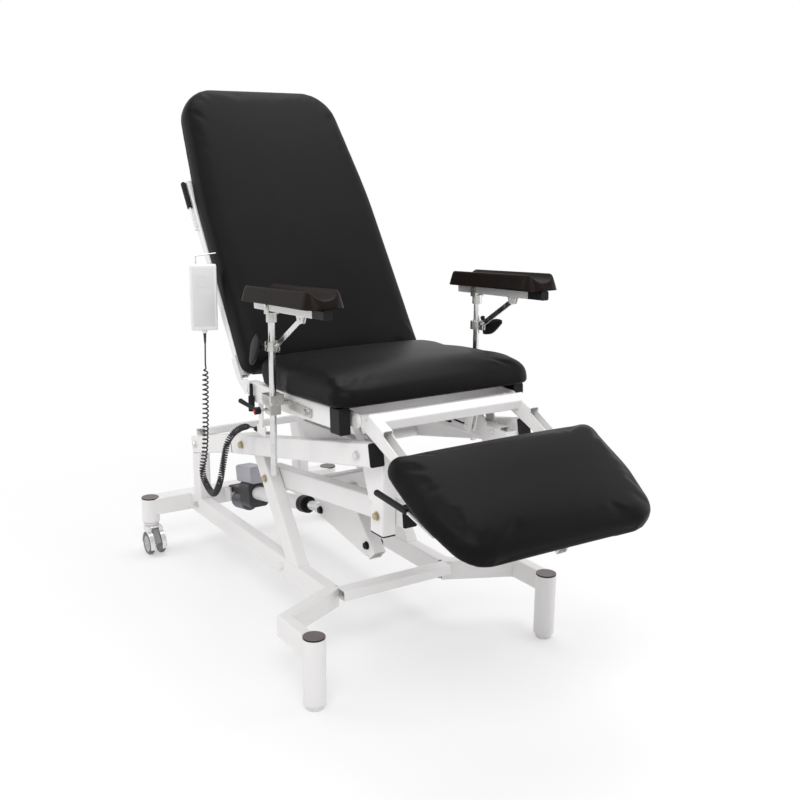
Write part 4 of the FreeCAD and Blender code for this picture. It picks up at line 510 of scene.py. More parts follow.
TOP_INSETS = (0.12, 0.16, 0.21, 0.26)
TOP_SHRINK = (0.9, 0.8, 0.7, 0.6, 0.5, 0.4, 0.3, 0.2, 0.1)
LEAST_ROUND = 0.35


def inset_points(points, distance):
    """Outline points moved inwards; they run anticlockwise seen from above."""
    moved = []
    count = len(points)
    for i, p in enumerate(points):
        before = (p - points[i - 1]).normalized()
        after = (points[(i + 1) % count] - p).normalized()
        n1, n2 = Vector((-before.y, before.x)), Vector((-after.y, after.x))
        moved.append(p + (n1 + n2) * (distance / (1 + n1.dot(n2))))
    return moved


def rounded_ring(points, radii, corner_steps=12, edge_steps=14):
    """Samples of the outline with rounded corners, the same number whatever the sizes."""
    ring = []
    count = len(points)
    joints = []
    for i, p in enumerate(points):
        back = (points[i - 1] - p).normalized()
        ahead = (points[(i + 1) % count] - p).normalized()
        half = back.angle(ahead) / 2
        reach = radii[i] / math.tan(half)
        start, end = p + back * reach, p + ahead * reach
        centre = p + (back + ahead).normalized() * (radii[i] / math.sin(half))
        joints.append((start, centre, end))
    for i, (start, centre, end) in enumerate(joints):
        a, b = start - centre, end - centre
        angle = a.angle(b)
        for k in range(corner_steps):
            t = k / corner_steps
            ring.append(centre + (a * math.sin((1 - t) * angle) + b * math.sin(t * angle)) / math.sin(angle))
        following = joints[(i + 1) % count][0]
        for k in range(edge_steps):
            ring.append(end.lerp(following, k / edge_steps))
    return ring


def cushion_form(name, place, points, radii, thick, crown, shape=None, base=0.0, edge=CUSHION_EDGE):
    """Closed crowned pad over a board. shape moves each point of the pad's own x, along and height."""
    half = max(p.x for p in points)
    low, high = min(p.y for p in points), max(p.y for p in points)
    deep = (high - low) / 2
    layers = [(i * edge, h * thick) for i, h in SIDE_SHARES]
    layers += [(i * min(half, deep), thick) for i in TOP_INSETS if i * min(half, deep) > 1.45 * edge]
    outlines = [(rounded_ring(inset_points(points, d), [max(r - d, r * LEAST_ROUND) for r in radii]), h)
                for d, h in layers]
    middle = Vector((0, low + deep))
    outlines += [([middle.lerp(p, k) for p in outlines[-1][0]], thick) for k in TOP_SHRINK]
    rings = []
    for ring, height in outlines:
        level = []
        for p in ring:
            across, along = min(1.0, abs(p.x) / half), min(1.0, abs(p.y - low - deep) / deep)
            raised = height + crown * (height / thick) ** 4 * (1 - across ** 2.2) * (1 - along ** 4)
            x, y, z = (p.x, p.y, raised) if shape is None else shape(p.x, p.y, raised)
            level.append(tipped(place, x, y, z + base))
        rings.append(level)
    verts, faces = rings_mesh(rings)
    obj = mesh_object(name, verts, faces)
    outward(obj)
    return obj


def plump(obj, voxel, cap, board, pressure=4.0):
    """Inflates a pad as stretched cover over foam; points on the board side stay put."""
    remesh = obj.modifiers.new("Remesh", 'REMESH')
    remesh.mode = 'VOXEL'
    remesh.voxel_size = voxel
    remesh.use_smooth_shade = True
    soft = obj.modifiers.new("Smooth", 'SMOOTH')
    soft.iterations = 10
    soft.factor = 0.5
    apply_modifiers(obj)
    start = [v.co.copy() for v in obj.data.vertices]
    held = obj.vertex_groups.new(name="board")
    held.add([v.index for v in obj.data.vertices if board(v.co)], 1.0, 'REPLACE')
    cloth = obj.modifiers.new("Cloth", 'CLOTH')
    cloth.settings.use_pressure = True
    cloth.settings.uniform_pressure_force = pressure
    cloth.settings.effector_weights.gravity = 0.0
    cloth.settings.vertex_group_mass = "board"
    cloth.settings.tension_stiffness = 40
    cloth.settings.compression_stiffness = 40
    cloth.settings.bending_stiffness = 4
    cloth.settings.quality = 5
    cloth.collision_settings.use_collision = False
    cloth.point_cache.frame_start = 1
    cloth.point_cache.frame_end = 20
    for step in range(1, 21):
        bpy.context.scene.frame_set(step)
    apply_modifiers(obj)
    bpy.context.scene.frame_set(1)
    for v, before in zip(obj.data.vertices, start):
        move = v.co - before
        if move.length > cap:
            v.co = before + move * (cap / move.length)
    soft = obj.modifiers.new("Smooth", 'SMOOTH')
    soft.iterations = 5
    soft.factor = 0.5
    finer = obj.modifiers.new("Finer", 'SUBSURF')
    finer.levels = finer.render_levels = 1
    apply_modifiers(obj)
    return obj


def dress_cushion(obj, node, body, material="Black vinyl"):
    obj.vertex_groups.clear()
    obj.data.polygons.foreach_set("use_smooth", [True] * len(obj.data.polygons))
    paint(obj, FINISHES[material])
    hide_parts(node)
    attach(obj, body)
    return obj


def seat_shape(x, y, z):
    """Rolled front edge, and a rear edge that leans under the back rest."""
    rear = max(0.0, min(1.0, y / 496.0))
    roll = 1 - 0.30 * (1 - min(1.0, max(0.0, y) / 130.0)) ** 2
    return x, y + 24.0 * z / 74.0 * rear, z * roll * mix(0.93, 1.0, rear)


# Arm pads

# Outline of the pad across and along, its corner radii, front corners first, and the ring samples
PAD_OUTLINE = ((-56, -310), (56, -310), (56.5, 80), (-56.5, 80))
PAD_ROUNDS = (44.0, 44.0, 28.0, 28.0)
PAD_STEPS = (10, 26)
PAD_REAR, PAD_LENGTH = 80.0, 390.0
PAD_DISH_HALF = 39.0
# Inset in mm and share of the pad's height
PAD_LAYERS = ((0.0, 0.0), (0.8, 0.10), (3.0, 0.30), (5.8, 0.52), (8.2, 0.72), (10.4, 0.87), (12.8, 0.955),
              (15.6, 0.992), (18.5, 1.0), (22.0, 1.0), (28.0, 1.0), (35.0, 1.0), (43.0, 1.0), (50.0, 1.0))
# Underside: inset, corner radius and height
PAD_UNDER = ((36.0, 8.0, 12.9), (30.0, 10.0, 12.9), (10.0, 20.0, 13.5), (3.5, 26.0, 12.5))


def arm_pad(side, sizes):
    """Gutter-shaped moulding: a flared skirt, round rims and a dished middle open at both ends."""
    outline = [Vector(p) for p in PAD_OUTLINE]
    rings = []
    for inset, share in PAD_LAYERS:
        radii = [max(r - inset, 3.0) for r in PAD_ROUNDS]
        ring = rounded_ring(inset_points(outline, inset), radii, *PAD_STEPS)
        level = []
        for p in ring:
            along = -p.y
            front = (along + PAD_REAR) / PAD_LENGTH
            low = mix(11.0, 17.0, front)
            rim = mix(52.0, 58.0, front)
            dip = sizes.arm_dish * max(0.0, 1 - (abs(p.x) / PAD_DISH_HALF) ** 2.6)
            dip *= mix(0.85, 1.15, smooth_step(front))
            level.append(on_arm(side, p.x, along, low + (rim - dip - low) * share))
        rings.append(level)
    under = [[on_arm(side, p.x, -p.y, z)
              for p in rounded_ring(inset_points(outline, inset), [r] * 4, *PAD_STEPS)]
             for inset, r, z in PAD_UNDER]
    verts, faces = rings_mesh(under + rings)
    obj = mesh_object("arm_pad_%s_moulded" % ("left" if side < 0 else "right"), verts, faces)
    outward(obj)
    finer = obj.modifiers.new("Finer", 'SUBSURF')
    finer.levels = finer.render_levels = 2
    apply_modifiers(obj)
    obj.data.polygons.foreach_set("use_smooth", [True] * len(obj.data.polygons))
    return obj


# Cord

def route_line(points, steps=64):
    """Points along the smooth line of a route's control points."""
    curve = bpy.data.curves.new("route", 'CURVE')
    curve.dimensions = '3D'
    curve.resolution_u = steps
    spline = curve.splines.new('NURBS')
    spline.points.add(len(points) - 1)
    for p, co in zip(spline.points, points):
        p.co = (*co, 1.0)
    spline.order_u = 3
    spline.use_endpoint_u = True
    obj = bpy.data.objects.new("route", curve)
    bpy.context.scene.collection.objects.link(obj)
    mesh = bpy.data.meshes.new_from_object(obj)
    line = [v.co.copy() for v in mesh.vertices]
    bpy.data.meshes.remove(mesh)
    bpy.data.objects.remove(obj)
    bpy.data.curves.remove(curve)
    return line


def along_line(line):
    """Running length at every point of a line."""
    run = [0.0]
    for a, b in zip(line, line[1:]):
        run.append(run[-1] + (b - a).length)
    return run


def curly_points(line, wire, coil, pitch, closed, lead_in, lead_out):
    """Helix round a line between two straight leads; its second half is drawn closer."""
    run = along_line(line)
    total = run[-1]
    side = Vector((1, 0, 0))
    frames = []
    tangent = (line[1] - line[0]).normalized()
    side = (side - tangent * side.dot(tangent)).normalized()
    for i in range(len(line)):
        ahead = (line[min(i + 1, len(line) - 1)] - line[max(i - 1, 0)]).normalized()
        side = (side - ahead * side.dot(ahead)).normalized()
        frames.append((ahead, side.copy()))
    points = []
    radius = (coil - wire) / 2
    distance, phase = 0.0, 0.0
    k = 0
    while distance < total:
        while k < len(run) - 2 and run[k + 1] < distance:
            k += 1
        share = (distance - run[k]) / max(run[k + 1] - run[k], 1e-9)
        centre = line[k].lerp(line[k + 1], share)
        ahead, flat = frames[k]
        grow = smooth_step((distance - lead_in) / (2 * pitch))
        grow *= smooth_step((total - lead_out - distance) / (2 * pitch))
        coiled = distance > lead_in and distance < total - lead_out
        step = mix(pitch, closed, smooth_step((distance / total - 0.36) / 0.14)) / 12
        if coiled:
            offset = (flat * math.cos(phase) + ahead.cross(flat) * math.sin(phase)) * radius * grow
            points.append(centre + offset)
            distance += step
            phase += 2 * math.pi / 12
        else:
            points.append(centre)
            distance += min(8 * step, max(step, lead_in / 3))
    points.append(line[-1])
    return points


# Castor hoods, collar wings and weld beads

def hood(axle, x0, x1, inner, outer, start, end, steps=30):
    """Curved cover over a wheel, its section a bar with broken corners."""
    c = 0.9
    section = ((x0 + c, inner), (x1 - c, inner), (x1, inner + c), (x1, outer - c), (x1 - c, outer), (x0 + c, outer),
               (x0, outer - c), (x0, inner + c))
    rings = []
    for i in range(steps + 1):
        t = math.radians(mix(start, end, i / steps))
        rings.append([axle + Vector((x, r * math.cos(t), r * math.sin(t))) * MM for x, r in section])
    obj = mesh_object("hood", *rings_mesh(rings))
    outward(obj)
    return obj


def smooth_outline(points, steps):
    """Closed Catmull-Rom line through points in a plane."""
    line = []
    count = len(points)
    for i in range(count):
        a, b, c, d = (Vector(points[(i + k) % count]) for k in (-1, 0, 1, 2))
        for k in range(steps):
            t = k / steps
            line.append(0.5 * (2 * b + (c - a) * t + (2 * a - 5 * b + 4 * c - d) * t * t
                               + (3 * b - a - 3 * c + d) * t * t * t))
    return line


def inner_corners(mesh, bare, shortest=0.024, sharp=35.0):
    """Points and edges of the inward corners in chains so long, but not between the bare distances."""
    bm = bmesh.new()
    bm.from_mesh(mesh)
    bmesh.ops.remove_doubles(bm, verts=bm.verts, dist=2e-5)
    limit = math.radians(sharp)
    chosen = [e for e in bm.edges
              if len(e.link_faces) == 2 and not e.is_convex and e.calc_face_angle(0.0) > limit
              and e.calc_length() > 1e-4 and not all(bare[0] < abs(v.co.x) < bare[1] for v in e.verts)]
    touching = {}
    for e in chosen:
        for v in e.verts:
            touching.setdefault(v, []).append(e)
    seen, kept = set(), []
    for e in chosen:
        if e in seen:
            continue
        chain, stack = [], [e]
        seen.add(e)
        while stack:
            here = stack.pop()
            chain.append(here)
            for v in here.verts:
                for other in touching[v]:
                    if other not in seen:
                        seen.add(other)
                        stack.append(other)
        if sum(x.calc_length() for x in chain) >= shortest:
            kept += chain
    order, verts, edges = {}, [], []
    for e in kept:
        pair = []
        for v in e.verts:
            if v not in order:
                order[v] = len(verts)
                verts.append(v.co.copy())
            pair.append(order[v])
        edges.append(tuple(pair))
    bm.free()
    return (verts, edges) if edges else None


def socket_id(tree, name):
    """Identifier of a node tree's input with this name."""
    return next(item.identifier for item in tree.interface.items_tree
                if item.name == name and item.in_out == 'INPUT')


def weld_tree():
    """Node tree that sets overlapping flattened drops along every edge."""
    tree = bpy.data.node_groups.new("Weld beads", "GeometryNodeTree")
    tree.interface.new_socket(name="Geometry", in_out='INPUT', socket_type='NodeSocketGeometry')
    for name, kind in (("Width", 'NodeSocketFloat'), ("Spacing", 'NodeSocketFloat'),
                       ("Seed", 'NodeSocketInt'), ("Finish", 'NodeSocketMaterial')):
        tree.interface.new_socket(name=name, in_out='INPUT', socket_type=kind)
    tree.interface.new_socket(name="Geometry", in_out='OUTPUT', socket_type='NodeSocketGeometry')
    nodes, links = tree.nodes, tree.links
    source, result = nodes.new("NodeGroupInput"), nodes.new("NodeGroupOutput")
    curve = nodes.new("GeometryNodeMeshToCurve")
    points = nodes.new("GeometryNodeCurveToPoints")
    points.mode = 'LENGTH'
    drop = nodes.new("GeometryNodeMeshIcoSphere")
    drop.inputs["Subdivisions"].default_value = 1
    half = nodes.new("ShaderNodeMath")
    half.operation = 'MULTIPLY'
    half.inputs[1].default_value = 0.5
    size = nodes.new("FunctionNodeRandomValue")
    size.data_type = 'FLOAT_VECTOR'
    size.inputs[0].default_value = (0.86, 0.86, 0.55)
    size.inputs[1].default_value = (1.0, 1.0, 0.75)
    place = nodes.new("GeometryNodeInstanceOnPoints")
    real = nodes.new("GeometryNodeRealizeInstances")
    shade = nodes.new("GeometryNodeSetShadeSmooth")
    coat = nodes.new("GeometryNodeSetMaterial")
    links.new(source.outputs["Geometry"], curve.inputs["Mesh"])
    links.new(curve.outputs["Curve"], points.inputs["Curve"])
    links.new(source.outputs["Spacing"], points.inputs["Length"])
    links.new(source.outputs["Width"], half.inputs[0])
    links.new(half.outputs[0], drop.inputs["Radius"])
    links.new(points.outputs["Points"], place.inputs["Points"])
    links.new(points.outputs["Rotation"], place.inputs["Rotation"])
    links.new(drop.outputs["Mesh"], place.inputs["Instance"])
    links.new(source.outputs["Seed"], size.inputs["Seed"])
    links.new(size.outputs[0], place.inputs["Scale"])
    links.new(place.outputs["Instances"], real.inputs["Geometry"])
    links.new(real.outputs["Geometry"], shade.inputs["Geometry"])
    links.new(shade.outputs["Geometry"], coat.inputs["Geometry"])
    links.new(source.outputs["Finish"], coat.inputs["Material"])
    links.new(coat.outputs["Geometry"], result.inputs["Geometry"])
    return tree


# Stage

FLOOR_HALF = 14.0
FLOOR_Z = -0.0005
WORLD_STRENGTH = 0.56


def camera_matrix(location, azimuth, pitch, roll):
    a, p, r = (math.radians(v) for v in (azimuth, pitch, roll))
    back = Vector((math.sin(a) * math.cos(p), -math.cos(a) * math.cos(p), math.sin(p)))
    right = Vector((math.cos(a), math.sin(a), 0))
    up = back.cross(right)
    right2 = right * math.cos(r) + up * math.sin(r)
    up2 = up * math.cos(r) - right * math.sin(r)
    rows = Matrix((right2, up2, back)).transposed().to_4x4()
    rows.translation = location
    return rows


def area_lamp(name, location, target, size, watts):
    lamp = bpy.data.lights.new(name, 'AREA')
    lamp.shape = 'RECTANGLE'
    lamp.size, lamp.size_y = size
    lamp.energy = watts
    obj = bpy.data.objects.new(name, lamp)
    bpy.context.scene.collection.objects.link(obj)
    obj.location = location
    obj.rotation_euler = (target - location).to_track_quat('-Z', 'Y').to_euler()
    return obj


# Sizes and colours a user would change

class ChairColours(bpy.types.PropertyGroup):
    """Colours of the steel frame and of the covers"""
    white_coat: bpy.props.FloatVectorProperty(
        name="White coat", description="Powder coat of the steel frame",
        default=(0.83, 0.815, 0.812), size=3, subtype='COLOR', min=0.0, max=1.0)
    vinyl: bpy.props.FloatVectorProperty(
        name="Vinyl", description="Cover of the cushions",
        default=(0.0068, 0.0063, 0.0066), size=3, subtype='COLOR', min=0.0, max=1.0)


class ChairSizes(bpy.types.PropertyGroup):
    """Sizes of the cushions, the arm pads, the cord and the weld beads"""
    seat_thick: bpy.props.FloatProperty(
        name="Seat thickness", description="Height of the seat cushion's side, mm", default=72.0)
    back_thick: bpy.props.FloatProperty(
        name="Back thickness", description="Height of the back cushion's side, mm", default=64.0)
    leg_thick: bpy.props.FloatProperty(
        name="Leg thickness", description="Height of the leg cushion's side, mm", default=54.0)
    arm_dish: bpy.props.FloatProperty(
        name="Arm pad dish", description="Depth of the arm pads' middle, mm", default=19.0)
    wire: bpy.props.FloatProperty(
        name="Cord wire", description="Diameter of the cord itself", default=0.0046, unit='LENGTH')
    coil: bpy.props.FloatProperty(
        name="Cord coil", description="Outer diameter of the curls", default=0.0205, unit='LENGTH')
    pitch: bpy.props.FloatProperty(
        name="Coil pitch", description="Distance from one curl to the next, drawn out",
        default=0.0150, unit='LENGTH')
    closed_pitch: bpy.props.FloatProperty(
        name="Closed pitch", description="The same where the curls lie close", default=0.0070, unit='LENGTH')
    bead: bpy.props.FloatProperty(
        name="Weld bead", description="Width of the weld beads", default=0.0044, unit='LENGTH')


class CHAIR_OT_finishes(bpy.types.Operator):
    """Makes the finishes and puts them on the steel, plastic and plated pieces"""
    bl_idname = "chair.finishes"
    bl_label = "Finishes"

    def execute(self, context):
        make_finishes(context.scene.chair_colours)
        for name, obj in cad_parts.items():
            paint(obj, FINISHES[node_finish(name)])
        for side in NAMES:
            edge = at(0, ARM_POST[1] - ARM_TUBE_FRONT, 0).y
            repaint("arm_tube_" + side, "Black plastic", lambda c: c.y < edge)
            repaint("clamp_lever_" + side, "Red button",
                    lambda c: abs(c.x) > BUTTON_FACE and abs(c.y - at(0, ARM_POST[1], 0).y) < BUTTON_REACH)
        ahead = Vector(ACTUATOR_AHEAD)
        rear_pin = at(*ACTUATOR_PIN)
        repaint("actuator_housing", "White powder coat",
                lambda c: TUBE_START < (c - rear_pin).dot(ahead) < RING_START)
        repaint("actuator_housing", "Black plastic", lambda c: (c - rear_pin).dot(ahead) >= RING_START)
        repaint("actuator_rod", "White powder coat", lambda c: c.y < at(0, -62, 0).y)
        repaint("base_plugs", "Cap top", lambda c: c.z > 0.1972)
        repaint("base_fasteners", "Yellow zinc", lambda c: c.z > 0.39 and c.y < at(0, 140, 0).y)
        repaint("base_fasteners", "White powder coat", lambda c: c.z < 0.19 and c.y < at(0, 0, 0).y)
        repaint("seat_fasteners", "Yellow zinc", lambda c: c.z < 0.56)
        for side in NAMES:
            repaint("castor_wheels_" + side, "Wheel disc",
                    lambda c: (Vector((0, c.y, c.z)) - at(*CASTOR_AXLE)).length < WHEEL_DISC)
        grip_back = tipped(BACK_FRAME, 0, 562, 0)
        up_back = tipped(BACK_FRAME, 0, 563, 0) - grip_back
        repaint("back_release_lever", "White powder coat", lambda c: (c - grip_back).dot(up_back) <= 0)
        repaint("back_release_lever", "Black plastic", lambda c: (c - grip_back).dot(up_back) > 0)
        repaint("leg_release_lever", "White powder coat",
                lambda c: c.y > LEG_GRIP_REAR or c.y < LEG_GRIP_FRONT)
        repaint("leg_release_lever", "Black plastic", lambda c: LEG_GRIP_FRONT <= c.y <= LEG_GRIP_REAR)
        low, high = at(0, -60.6, 0).y - 0.013, at(0, -60.6, 0).y + 0.001
        repaint("cord_bracket", "Black plastic", lambda c: low < c.y < high and c.z < 0.606)
        return {'FINISHED'}


class CHAIR_OT_cushions(bpy.types.Operator):
    """Makes the seat, back and leg cushions as stretched vinyl over foam"""
    bl_idname = "chair.cushions"
    bl_label = "Cushions"

    def execute(self, context):
        sizes = context.scene.chair_sizes
        points = [Vector(p) for p in SEAT_OUTLINE]
        seat = cushion_form("seat_cushion_cover", SEAT_FRAME, points, SEAT_ROUNDS, sizes.seat_thick, 15.0,
                            seat_shape, 1.0, 28.0)
        floor = tipped(SEAT_FRAME, 0, 0, 8)
        slope = math.tan(math.radians(SEAT_FRAME[2]))
        plump(seat, 0.006, 0.005, lambda co: co.z < floor.z + (co.y - floor.y) * slope)
        dress_cushion(seat, "seat_cushion", "seat")

        points = [Vector(p) for p in BACK_OUTLINE]
        back = cushion_form("back_cushion_cover", BACK_FRAME, points, BACK_ROUNDS, sizes.back_thick, 16.0,
                            None, -65.0, 20.0)
        under = (tipped(BACK_FRAME, 0, 0, 1) - tipped(BACK_FRAME, 0, 0, 0)).normalized()
        level = tipped(BACK_FRAME, 0, 0, -58).dot(under)
        plump(back, 0.0065, 0.005, lambda co: co.dot(under) < level)
        dress_cushion(back, "back_cushion", "back")

        points = [Vector(p) for p in LEG_OUTLINE]
        leg = cushion_form("leg_cushion_cover", LEG_FRAME, points, LEG_ROUNDS, sizes.leg_thick, 24.0, None,
                           -55.0, 24.0)
        under = (tipped(LEG_FRAME, 0, 0, 1) - tipped(LEG_FRAME, 0, 0, 0)).normalized()
        level_leg = tipped(LEG_FRAME, 0, 0, -48).dot(under)
        plump(leg, 0.006, 0.005, lambda co: co.dot(under) < level_leg)
        dress_cushion(leg, "leg_cushion", "leg")
        return {'FINISHED'}


class CHAIR_OT_arm_pads(bpy.types.Operator):
    """Makes the two gutter-shaped arm pads"""
    bl_idname = "chair.arm_pads"
    bl_label = "Arm pads"

    def execute(self, context):
        for side, s in SIDES:
            pad = arm_pad(s, context.scene.chair_sizes)
            paint(pad, FINISHES["Moulded arm pad"])
            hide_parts("arm_pad_" + side)
            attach(pad, "arm_" + side)
        return {'FINISHED'}


class CHAIR_OT_handset(bpy.types.Operator):
    """Makes the handset's case, key film and cord sleeve"""
    bl_idname = "chair.handset"
    bl_label = "Handset"

    def execute(self, context):
        case = bevelled_block("handset_case", (-13.5, -38.5, -92), (13.5, 38.5, 100), 4.5, 5, in_handset)
        neck = lathe("neck", [(0, 5.0), (0, 8.5), (6, 7.8), (9.4, 6.0), (9.4, 3.0)], in_handset(0, 0, -91.5),
                     Vector((0, 0, -1)), 32)
        body = join("handset_case", [case, neck])
        crease_smooth(body, 40)
        paint(body, FINISHES["Handset plastic"])
        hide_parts("handset")
        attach(body, "back")
        film = bevelled_block("handset_film", (-13.8, -31, -80), (-13.4, 31, 92), 0.2, 2, in_handset)
        paint(film, FINISHES["Key film"])
        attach(film, "back")
        axis = in_handset(0, 0, -1) - in_handset(0, 0, 0)
        profile = [(8.3, 2.4), (8.4, 4.3)]
        for k in range(10):
            a = 9.4 + 2.9 * k
            r = mix(4.6, 3.3, k / 9)
            profile += [(a, r), (a + 1.7, r - 0.05), (a + 1.9, r - 0.75), (a + 2.7, r - 0.8)]
        profile += [(41.2, 2.6), (41.6, 2.4)]
        sleeve = lathe("handset_sleeve", profile, in_handset(0, 0, -92.6), axis, 40)
        crease_smooth(sleeve, 50)
        paint(sleeve, FINISHES["Cord rubber"])
        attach(sleeve, "back")
        return {'FINISHED'}


class CHAIR_OT_cord(bpy.types.Operator):
    """Makes the handset's curly cord"""
    bl_idname = "chair.cord"
    bl_label = "Curly cord"

    def execute(self, context):
        sizes = context.scene.chair_sizes
        line = route_line([Vector(p) for p in CORD_ROUTE])
        points = curly_points(line, sizes.wire, sizes.coil, sizes.pitch, sizes.closed_pitch, 0.062, 0.03)
        curve = bpy.data.curves.new("handset_cord_curls", 'CURVE')
        curve.dimensions = '3D'
        curve.resolution_u = 2
        curve.bevel_depth = sizes.wire / 2
        curve.bevel_resolution = 3
        curve.use_fill_caps = True
        spline = curve.splines.new('NURBS')
        spline.points.add(len(points) - 1)
        for p, co in zip(spline.points, points):
            p.co = (*co, 1.0)
        spline.order_u = 3
        spline.use_endpoint_u = True
        obj = bpy.data.objects.new("handset_cord_curls", curve)
        context.scene.collection.objects.link(obj)
        paint(obj, FINISHES["Cord rubber"])
        mesh = bpy.data.meshes.new_from_object(obj)
        bpy.data.objects.remove(obj)
        tube = bpy.data.objects.new("handset_cord_curls", mesh)
        context.scene.collection.objects.link(tube)
        paint(tube, FINISHES["Cord rubber"])
        mesh.polygons.foreach_set("use_smooth", [True] * len(mesh.polygons))
        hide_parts("handset_cord")
        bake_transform(tube)
        return {'FINISHED'}


class CHAIR_OT_castor_trim(bpy.types.Operator):
    """Makes the castors' wheel hoods and the swivel races under their tubes"""
    bl_idname = "chair.castor_trim"
    bl_label = "Castor trim"

    def execute(self, context):
        for side, s in SIDES:
            axle = at(s * 353, 616, 39)
            shells = [hood(axle, x0, x1, 41.2, 44.8, -8.0, 196.0) for x0, x1 in ((-29.0, -12.6), (12.6, 29.0))]
            crown = bevelled_block("crown", (s * 353 - 27, 616 - 14, 95.2), (s * 353 + 27, 616 + 36, 99.8),
                                   2.0, 3)
            for k in (-1, 1):
                shells.append(bevelled_block("web", (s * 353 + k * 20 - 7.4, 616 - 12, 82.0),
                                             (s * 353 + k * 20 + 7.4, 616 + 30, 97.0), 2.0, 3))
            cover = join("castor_hood_" + side, shells + [crown])
            crease_smooth(cover, 40)
            race = lathe("castor_race_" + side, RACE_PROFILE, at(s * 353, 642, 100.2), (0, 0, 1), 48)
            crease_smooth(race, 30)
            for piece in (cover, race):
                paint(piece, FINISHES["Castor zinc"])
                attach(piece, "castor_" + side)
        return {'FINISHED'}


class CHAIR_OT_wings(bpy.types.Operator):
    """Makes the black wings of the collars' locking knobs"""
    bl_idname = "chair.wings"
    bl_label = "Collar wings"

    def execute(self, context):
        outline = ((-8, -12), (4, -30), (13, -31), (38, -4), (52, 44), (51, 51), (43, 54), (18, 34))
        for side, s in SIDES:
            turn = math.radians(0.0 if s < 0 else 214.0)
            rings = []
            for x, grow in WING_LAYERS:
                ring = []
                for y, z in smooth_outline(outline, 5):
                    y, z = 22 + (y - 22) * grow, 8 + (z - 8) * grow
                    ring.append(at(s * x, -295 + y * math.cos(turn) + z * math.sin(turn),
                                   884 - z * math.cos(turn) + y * math.sin(turn)))
                rings.append(ring)
            wing = mesh_object("knob_wing_" + side, *rings_mesh(rings))
            outward(wing)
            crease_smooth(wing, 50)
            paint(wing, FINISHES["Black plastic"])
            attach(wing, "knob_" + side)
        return {'FINISHED'}


class CHAIR_OT_welds(bpy.types.Operator):
    """Lays weld beads in the inner corners of the welded steel pieces"""
    bl_idname = "chair.welds"
    bl_label = "Weld beads"

    def execute(self, context):
        tree = weld_tree()
        sizes = context.scene.chair_sizes
        for node, body in WELDED:
            seams = inner_corners(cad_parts[node].data, ARM_GAP if node == "seat_frame" else (0.0, 0.0))
            if not seams:
                raise RuntimeError("no inner corners on " + node)
            verts, edges = seams
            mesh = bpy.data.meshes.new("weld_" + node)
            mesh.from_pydata(verts, edges, [])
            obj = bpy.data.objects.new("weld_" + node, mesh)
            context.scene.collection.objects.link(obj)
            beads = obj.modifiers.new("Beads", 'NODES')
            beads.node_group = tree
            for name, value in (("Width", sizes.bead), ("Spacing", sizes.bead * 0.62), ("Seed", 7)):
                beads[socket_id(tree, name)] = value
            beads[socket_id(tree, "Finish")] = FINISHES["White powder coat"]
            apply_modifiers(obj)
            print("weld beads", node, len(obj.data.polygons))
            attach(obj, body)
        return {'FINISHED'}


def backdrop_rays(nodes, links):
    """Gives a socket that is 1 for the rays that see the white backdrop: camera, glossy and transmission"""
    rays = nodes.new("ShaderNodeLightPath")
    first = nodes.new("ShaderNodeMath")
    first.operation = 'MAXIMUM'
    second = nodes.new("ShaderNodeMath")
    second.operation = 'MAXIMUM'
    links.new(rays.outputs["Is Camera Ray"], first.inputs[0])
    links.new(rays.outputs["Is Glossy Ray"], first.inputs[1])
    links.new(first.outputs[0], second.inputs[0])
    links.new(rays.outputs["Is Transmission Ray"], second.inputs[1])
    return second.outputs[0]


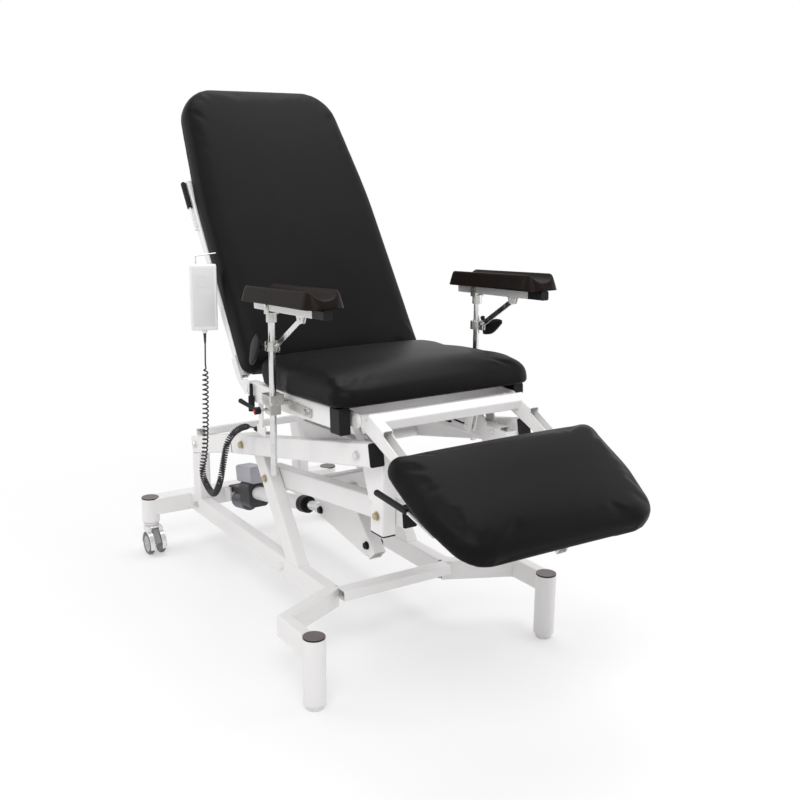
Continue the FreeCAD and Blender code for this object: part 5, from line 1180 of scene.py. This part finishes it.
class CHAIR_OT_stage(bpy.types.Operator):
    """Makes the camera, the lamps, the world and the plain floor"""
    bl_idname = "chair.stage"
    bl_label = "Stage"

    def execute(self, context):
        scene = context.scene
        scene.view_settings.view_transform = 'Standard'
        camera = bpy.data.cameras.new("photo_camera")
        camera.sensor_width = SENSOR
        camera.lens = SENSOR * 1056.32 / IMAGE
        camera.clip_end = 60.0
        obj = bpy.data.objects.new("photo_camera", camera)
        scene.collection.objects.link(obj)
        obj.matrix_world = camera_matrix(at(-1539.65, -2749.06, 1402.72), -33.226, 13.686, 0.591)
        scene.camera = obj

        world = bpy.data.worlds.new("plain_studio")
        scene.world = world
        world.use_nodes = True
        nodes, links = world.node_tree.nodes, world.node_tree.links
        nodes["Background"].inputs["Color"].default_value = (1.0, 1.0, 1.0, 1.0)
        nodes["Background"].inputs["Strength"].default_value = WORLD_STRENGTH
        seen = nodes.new("ShaderNodeBackground")
        seen.inputs["Color"].default_value = (1.0, 1.0, 1.0, 1.0)
        either = nodes.new("ShaderNodeMixShader")
        links.new(backdrop_rays(nodes, links), either.inputs["Fac"])
        links.new(nodes["Background"].outputs[0], either.inputs[1])
        links.new(seen.outputs[0], either.inputs[2])
        links.new(either.outputs[0], nodes["World Output"].inputs["Surface"])

        target = at(0, -200, 700)
        area_lamp("key", at(-1500, -2300, 2900), target, (1.8, 1.4), 47.0)
        area_lamp("top", at(600, 200, 3300), target, (2.4, 2.0), 44.0)
        area_lamp("fill", at(2600, -1500, 1500), target, (1.8, 2.2), 18.0)
        area_lamp("rim", at(-2200, 1300, 1700), target, (1.0, 2.0), 14.0)

        corners = [(x * FLOOR_HALF, y * FLOOR_HALF, FLOOR_Z) for x, y in ((-1, -1), (1, -1), (1, 1), (-1, 1))]
        floor = mesh_object("floor", corners, [(0, 1, 2, 3)], False)
        material = bpy.data.materials.new("Pale floor")
        material.use_nodes = True
        nodes, links = material.node_tree.nodes, material.node_tree.links
        shader = nodes["Principled BSDF"]
        shader.inputs["Base Color"].default_value = (0.93, 0.93, 0.93, 1.0)
        shader.inputs["Roughness"].default_value = 0.9
        shader.inputs["Specular IOR Level"].default_value = 0.1
        glow = nodes.new("ShaderNodeEmission")
        glow.inputs["Strength"].default_value = 1.0
        place = nodes.new("ShaderNodeTexCoord")
        away = nodes.new("ShaderNodeVectorMath")
        away.operation = 'LENGTH'
        reach = nodes.new("ShaderNodeMapRange")
        reach.interpolation_type = 'SMOOTHSTEP'
        reach.inputs["From Min"].default_value = 1.0
        reach.inputs["From Max"].default_value = 2.2
        reach.inputs["To Min"].default_value = 0.42
        both = nodes.new("ShaderNodeMath")
        both.operation = 'MULTIPLY'
        cover = nodes.new("ShaderNodeMixShader")
        links.new(place.outputs["Object"], away.inputs[0])
        links.new(away.outputs["Value"], reach.inputs["Value"])
        links.new(reach.outputs["Result"], both.inputs[0])
        links.new(backdrop_rays(nodes, links), both.inputs[1])
        links.new(both.outputs[0], cover.inputs["Fac"])
        links.new(shader.outputs[0], cover.inputs[1])
        links.new(glow.outputs[0], cover.inputs[2])
        links.new(cover.outputs[0], nodes["Material Output"].inputs["Surface"])
        floor.data.materials.append(material)
        return {'FINISHED'}


class CHAIR_PT_builder(bpy.types.Panel):
    """Buttons for each group of pieces and their sizes"""
    bl_idname = "CHAIR_PT_builder"
    bl_label = "Treatment chair"
    bl_space_type = 'VIEW_3D'
    bl_region_type = 'UI'
    bl_category = "Chair"

    def draw(self, context):
        column = self.layout.column()
        for group in (context.scene.chair_colours, context.scene.chair_sizes):
            for key in group.__annotations__:
                column.prop(group, key)
        for operator in OPERATORS:
            column.operator(operator.bl_idname)


OPERATORS = (CHAIR_OT_stage, CHAIR_OT_finishes, CHAIR_OT_cord, CHAIR_OT_cushions, CHAIR_OT_arm_pads,
             CHAIR_OT_handset, CHAIR_OT_castor_trim, CHAIR_OT_wings, CHAIR_OT_welds)
CLASSES = (ChairColours, ChairSizes) + OPERATORS + (CHAIR_PT_builder,)


def register():
    for cls in CLASSES:
        bpy.utils.register_class(cls)
    bpy.types.Scene.chair_colours = bpy.props.PointerProperty(type=ChairColours)
    bpy.types.Scene.chair_sizes = bpy.props.PointerProperty(type=ChairSizes)


def unregister():
    del bpy.types.Scene.chair_sizes
    del bpy.types.Scene.chair_colours
    for cls in reversed(CLASSES):
        bpy.utils.unregister_class(cls)


def main():
    register()
    for operator in OPERATORS:
        group, name = operator.bl_idname.split(".")
        getattr(getattr(bpy.ops, group), name)()


if __name__ == "__main__":
    main()
